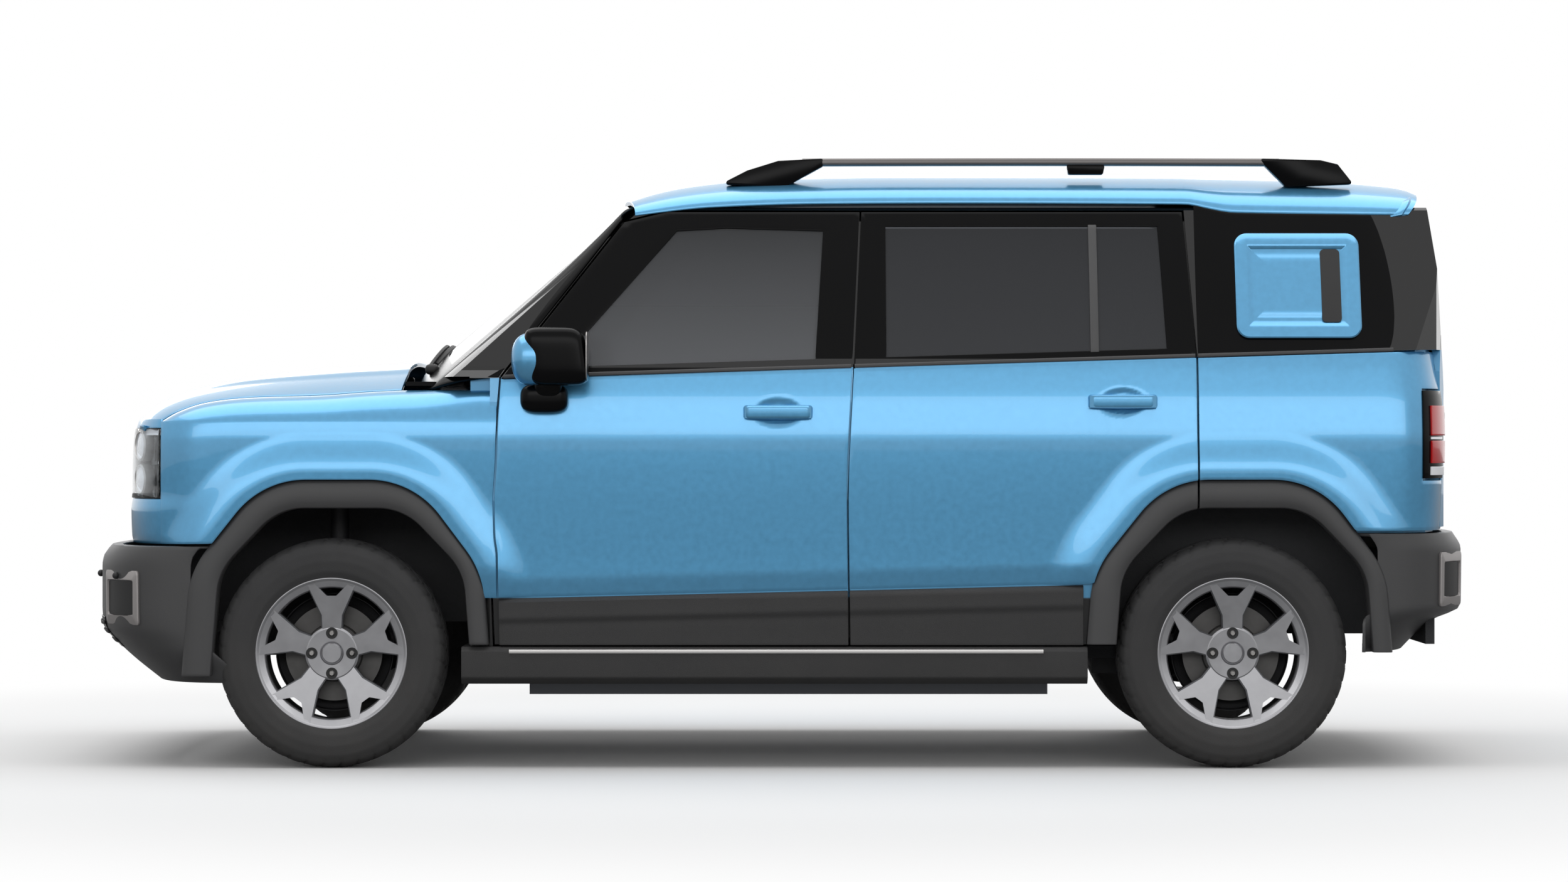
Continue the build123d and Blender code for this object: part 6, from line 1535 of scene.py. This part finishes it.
    def build(self) -> None:
        """Builds everything of the roof and screen."""
        self.skin()
        self.screen()
        self.pillars()
        self.rails()
        self.wipers()


@dataclass
class Wheel:
    """The wheels: tyres with blocks in their tread, five-spoke alloy rims, brake discs and shields."""

    tyre_radius: float = 0.326
    half: float = 0.1025
    track_half: float = 0.762
    segments: int = 280
    tread_start: float = 0.3165
    spokes: int = 5
    nuts: int = 4
    nut_circle: float = 0.0571
    fork: float = 17.0
    spoke_face: float = 0.066

    def tyre(self, place: str, side: str, centre: Place) -> None:
        """Tyre: a turned profile whose tread is cut by round grooves and slanted sipes."""
        wall = [(0.205, 0.016), (0.216, 0.010), (0.232, 0.003), (0.262, 0.0), (0.290, 0.003),
                (0.310, 0.012), (0.319, 0.024), (0.3245, 0.040)]
        outline = [(radius, inwards - self.half) for radius, inwards in wall]
        outline += [(self.tyre_radius, 0.0)] + [(radius, -across) for radius, across in reversed(outline)]
        profile = resample(rounded(outline, 0.012, 4), 88)
        grid = lathe(profile, centre, self.segments)
        angle = np.linspace(0, 2 * pi, self.segments + 1)[:, None]
        across = profile[None, :, 1]
        tread = (profile[None, :, 0] > self.tread_start).astype(float)
        groove = np.zeros_like(tread)
        for middle in (-0.050, -0.017, 0.017, 0.050):
            groove = np.maximum(groove, smooth_step((0.0055 - np.abs(across - middle)) / 0.002))
        wave = np.sin(40 * angle + 60 * np.abs(across))
        sipe = smooth_step((wave - 0.86) / 0.06) * (np.abs(across) > 0.019)
        shoulder = (profile[None, :, 0] > 0.300) * (profile[None, :, 0] <= self.tread_start)
        cut = 0.007 * tread * np.maximum(groove, 0.7 * sipe) + 0.003 * shoulder * sipe
        scale = 1 - cut / profile[None, :, 0]
        grid[..., 0] = centre[0] + (grid[..., 0] - centre[0]) * scale
        grid[..., 2] = centre[2] + (grid[..., 2] - centre[2]) * scale
        inside = np.concatenate([grid, grid[:, :1]], axis=1)
        shell = Shell(f"tyre_skin_{place}_{side}").add(inside, RUBBER, None)
        shell.build(f"wheel_{place}_{side}", "tyre", (f"tyre_{place}_{side}",), closed=True, crease=42)

    def outline(self, inset: float) -> Array:
        """Outline of one spoke, forked outwards, drawn upwards from the middle."""
        right = [(0.030 - inset, 0.060), (0.032 - inset, 0.108)]
        arm = radians(self.fork)
        out = np.array([sin(arm), cos(arm)])
        side = np.array([cos(arm), -sin(arm)])
        tip = 0.210
        outer = out * tip + side * (0.012 - inset)
        inner = out * tip - side * (0.012 - inset)
        elbow = np.array([0.012 + inset * 0.4, 0.160 + inset])
        right += [tuple(outer), tuple(inner), tuple(elbow)]
        left = [(-x, y) for x, y in reversed(right)]
        return np.array(right + left)

    def rim(self, place: str, side: str, centre: Place) -> None:
        """Alloy rim: a barrel and lip, forked spokes, and the hub in their middle; the barrel's inside is
        painted near black as painted shade.
        """
        sign = SIDES[side]
        shell = Shell(f"rim_{place}_{side}")
        out = np.array([1.0, sign])
        lip = [(0.217, 0.084), (0.2175, 0.090), (0.213, 0.094), (0.206, 0.088), (0.190, 0.084),
               (0.186, 0.078), (0.186, 0.058)]
        barrel = [(0.186, 0.058), (0.188, 0.0), (0.192, -0.080), (0.214, -0.094), (0.217, -0.086),
                  (0.202, -0.074), (0.198, 0.0), (0.200, 0.070), (0.217, 0.084)]
        # The barrel's inside is painted near black: painted shade
        for line, finish in ((lip, ALLOY), (barrel, BARREL_PAINTED_SHADE)):
            shell.add(lathe(rounded(line, 0.003, 3) * out, centre, 120), finish, None)
        for index in range(self.spokes):
            turn = 2 * pi * index / self.spokes
            for inset, low, high, finish in ((0.0, -0.030, 0.0, ALLOY_DARK), (0.0035, -0.002, 0.006, ALLOY)):
                flat = rounded(self.outline(inset), 0.006, 5, closed=True)
                radius = np.linalg.norm(flat, axis=1)
                sink = 0.016 * smooth_step((radius - 0.12) / 0.08)
                x = centre[0] + flat[:, 0] * np.cos(turn) - flat[:, 1] * np.sin(turn)
                z = centre[2] + flat[:, 0] * np.sin(turn) + flat[:, 1] * np.cos(turn)
                near, far = (np.stack([x, centre[1] + sign * (self.spoke_face + depth + sink), z], axis=1)
                             for depth in (low, high))
                shell.prism(near, far, finish)
        self.hub(shell, centre, sign)
        wheel = f"wheel_{place}_{side}"
        shell.build(wheel, "wheel_alloy", (wheel,), closed=True, crease=30)

    def hub(self, shell: Shell, centre: Place, sign: float) -> None:
        """Centre disc with its plain cap, and the nuts round it, each on a dark washer."""
        out, level = np.array([1.0, sign]), np.array([0.0, sign * self.spoke_face])
        disc = np.array([(0.0004, 0.012), (0.026, 0.012), (0.029, 0.009), (0.031, 0.004), (0.034, 0.007),
                         (0.070, 0.008), (0.076, 0.004), (0.078, -0.030), (0.0004, -0.030)])
        shell.add(lathe(disc * out + level, centre, 72), ALLOY, None)
        nut = np.array([(0.0004, 0.014), (0.0055, 0.014), (0.008, 0.011), (0.009, 0.0085), (0.0165, 0.0088),
                        (0.0165, 0.002), (0.0004, 0.002)]) * out + level
        for index in range(self.nuts):
            turn = 2 * pi * index / self.nuts
            at = (centre[0] + self.nut_circle * cos(turn), centre[1], centre[2] + self.nut_circle * sin(turn))
            shell.add(lathe(nut[:4], at, 24), STEEL, None)
            shell.add(lathe(nut[3:], at, 24), SEAL, None)

    def brake(self, place: str, side: str, centre: Place) -> None:
        """Brake disc, which turns with the wheel, and the pressed shield behind it, which doesn't."""
        out = np.array([1.0, SIDES[side]])
        disc = [(0.060, -0.012), (0.138, -0.012), (0.138, 0.010), (0.084, 0.010), (0.080, 0.026),
                (0.060, 0.026), (0.060, -0.012)]
        shield = [(0.062, -0.030), (0.150, -0.030), (0.162, -0.022), (0.166, -0.008), (0.168, -0.008),
                  (0.164, -0.024), (0.151, -0.033), (0.062, -0.033), (0.062, -0.030)]
        fixed = f"knuckle_{side}" if place == "front" else "body"
        for name, line, finish, body in (
            ("brake_disc", disc, DISC_IRON, f"wheel_{place}_{side}"), ("dust_shield", shield, IRON, fixed),
        ):
            shell = Shell(f"{name}_{place}_{side}").add(lathe(np.array(line) * out, centre, 72), finish, None)
            shell.build(body, "chassis", closed=True)

    def build(self) -> None:
        """Builds all four wheels at their places in the frame."""
        for place in ENDS:
            for side, sign in SIDES.items():
                axle = SHAPE.front_axle if place == "front" else SHAPE.rear_axle
                centre = (axle, sign * self.track_half, self.tyre_radius)
                self.tyre(place, side, centre)
                self.rim(place, side, centre)
                self.brake(place, side, centre)


@dataclass
class Cabin:
    """Seats, trimmed as padded pieces."""

    seat_y: float = 0.370
    padding: float = 0.7

    def seat(self, name: str, nodes: tuple[str, ...], middles: list[float], half: float, rear: bool) -> None:
        """One row of seats: cushions, backs and headrests with their side bolsters."""
        shell = Shell(name)
        for middle in middles:
            base_x, length = (-0.780, 0.220) if rear else (0.125, 0.255)
            shell.lump(LEATHER, (base_x, middle, 0.625), (length, half, 0.066), 5.0)
            for lift in (-1.0, 1.0):
                edge = middle + lift * (half - 0.035)
                shell.lump(LEATHER, (base_x, edge, 0.652), (length * 0.94, 0.036, 0.040), 3.0, 20, 30)
            back = pillow((0.0, middle, 0.960), (0.056, half * 0.96, 0.285), 5.0)
            lean_x = -0.930 if rear else -0.115
            back[..., 0] += lean_x - (back[..., 2] - 0.69) * 0.24
            shell.add(back, LEATHER, (lean_x - 0.07, middle, 0.96))
            heads = [middle] if not rear else [middle - 0.32, middle + 0.32]
            for head in heads:
                x = lean_x - 0.155
                shell.lump(LEATHER, (x, head, 1.385), (0.044, 0.125, 0.080), 3.6, 24, 36)
                for post in (head - 0.05, head + 0.05):
                    rod = resample([(x + 0.01, post, 1.225), (x, post, 1.340)], 4)
                    shell.tube(rounded_section(0.012, 0.012, 0.0055), rod, STEEL, (1.0, 0.0, 0.0))
        piece = shell.build("body", "seat", nodes, closed=True)

    def build(self) -> None:
        """Builds both rows."""
        self.seat("front_seat_pads", ("front_seats",), [self.seat_y, -self.seat_y], 0.250, False)
        self.seat("rear_seat_pads", ("rear_seat",), [0.0], 0.566, True)


DOORS, TRIMS, FRONT, REAR = Doors(), Trims(), FrontEnd(), RearEnd()

COATS = {
    "side_frames": DOOR_PAINT, "wheelhouses": UNDERSEAL, "cowl": PIANO, "tailgate": DOOR_PAINT,
    "floor": UNDERSEAL, "front_frame": UNDERSEAL, "battery_pack": BATTERY, "drive_unit": BATTERY,
    "front_suspension": IRON, "rear_axle": IRON, "dashboard": SOFT_TRIM, "steering_wheel": LEATHER,
    **{f"knuckle_{side}": IRON for side in SIDES},
    **{f"door_{place}_{side}": DOOR_PAINT for place in ENDS for side in SIDES},
}


def coat_nodes() -> None:
    """Gives every CAD node that stays in sight its finish."""
    for name, node in frame["nodes"].items():
        finish = COATS.get(name)
        if finish is not None:
            for slot in node.material_slots:
                slot.material = finish.material()
            LOG.info("%s: finished as %s", name, finish.name)


@dataclass
class Studio:
    """Pale floor, white surroundings, soft lamps and the camera of the photograph."""

    camera_at: Place = (-0.007, 13.46, 0.929)
    lens: float = 102.0
    sky: float = 0.36
    floor_reach: float = 60.0
    fade: tuple[float, float] = (2.5, 4.6)

    def floor(self) -> None:
        """Large pale floor, which fades to white away from the vehicle and throws little light back."""
        mesh = bpy.data.meshes.new("studio_floor")
        size = self.floor_reach
        corners = [(-size, -size, 0), (size, -size, 0), (size, size, 0), (-size, size, 0)]
        mesh.from_pydata(corners, [], [(0, 1, 2, 3)])
        floor = bpy.data.objects.new("studio_floor", mesh)
        bpy.context.scene.collection.objects.link(floor)
        material = bpy.data.materials.new("studio floor")
        material.use_nodes = True
        tree = Tree(material.node_tree)
        shader = material.node_tree.nodes["Principled BSDF"]
        path = tree.node("ShaderNodeLightPath")
        pale, dim = (0.94, 0.94, 0.94, 1.0), (0.32, 0.32, 0.32, 1.0)
        tree.feed(shader.inputs["Base Color"], tree.blend(path.outputs["Is Camera Ray"], dim, pale))
        shader.inputs["Roughness"].default_value = 0.9
        place = tree.node("ShaderNodeTexCoord")
        reach = tree.node("ShaderNodeVectorMath", operation="LENGTH")
        tree.feed(reach.inputs[0], place.outputs["Object"])
        far = tree.node("ShaderNodeMapRange", interpolation_type="SMOOTHSTEP", Value=reach.outputs["Value"])
        far.inputs["From Min"].default_value, far.inputs["From Max"].default_value = self.fade
        glow = tree.node("ShaderNodeEmission")
        mix = tree.node("ShaderNodeMixShader")
        tree.feed(mix.inputs[0], tree.maths("MULTIPLY", far.outputs["Result"], path.outputs["Is Camera Ray"]))
        tree.feed(mix.inputs[1], shader.outputs[0])
        tree.feed(mix.inputs[2], glow.outputs[0])
        tree.feed(material.node_tree.nodes["Material Output"].inputs["Surface"], mix.outputs[0])
        mesh.materials.append(material)

    def world(self) -> None:
        """White world for the camera, glossy and transmitted rays, softer for the light it gives."""
        world = bpy.data.worlds.new("studio")
        bpy.context.scene.world = world
        world.use_nodes = True
        tree = Tree(world.node_tree)
        path = tree.node("ShaderNodeLightPath")
        seen = tree.maths("MAXIMUM", path.outputs["Is Camera Ray"], path.outputs["Is Transmission Ray"])
        seen = tree.maths("MAXIMUM", seen, path.outputs["Is Glossy Ray"])
        strength = tree.maths("ADD", self.sky, tree.maths("MULTIPLY", seen, 1.0 - self.sky))
        ground = world.node_tree.nodes["Background"]
        ground.inputs["Color"].default_value = (1.0, 1.0, 1.0, 1.0)
        tree.feed(ground.inputs["Strength"], strength)

    def lamp(self, name: str, at: Place, lean: float, size: tuple[float, float], power: float) -> None:
        """One rectangular area lamp, leant about X by an angle in degrees."""
        light = bpy.data.lights.new(name, "AREA")
        light.shape, light.size, light.size_y, light.energy = "RECTANGLE", size[0], size[1], power
        lamp = bpy.data.objects.new(name, light)
        lamp.location, lamp.rotation_euler = at, (radians(lean), 0.0, 0.0)
        bpy.context.scene.collection.objects.link(lamp)

    def camera(self) -> None:
        """Camera level with the belt, looking at the left side."""
        data = bpy.data.cameras.new("photo view")
        data.lens, data.sensor_width = self.lens, 36.0
        camera = bpy.data.objects.new("photo view", data)
        camera.location, camera.rotation_euler = self.camera_at, (radians(90), 0.0, radians(180))
        bpy.context.scene.collection.objects.link(camera)
        bpy.context.scene.camera = camera

    def build(self) -> None:
        """Builds the studio."""
        self.floor()
        self.world()
        self.lamp("overhead", (0.0, 0.0, 5.2), 0.0, (9.0, 6.0), 272.0)
        self.lamp("side", (0.0, 9.0, 2.9), -78.0, (13.0, 1.9), 170.0)
        self.lamp("far side", (0.0, -9.0, 2.9), 78.0, (13.0, 1.9), 170.0)
        self.camera()
        settings = bpy.context.scene.view_settings
        settings.view_transform = "Standard"


def main() -> None:
    """Builds the vehicle and its studio, in order."""
    logging.basicConfig(level=logging.INFO, format="%(message)s")
    coat_nodes()
    for part in (FRONT, DOORS, TRIMS, REAR, Hoops(), Roof(), Wheel(), Cabin(), Studio()):
        part.build()


if __name__ == "__main__":
    main()
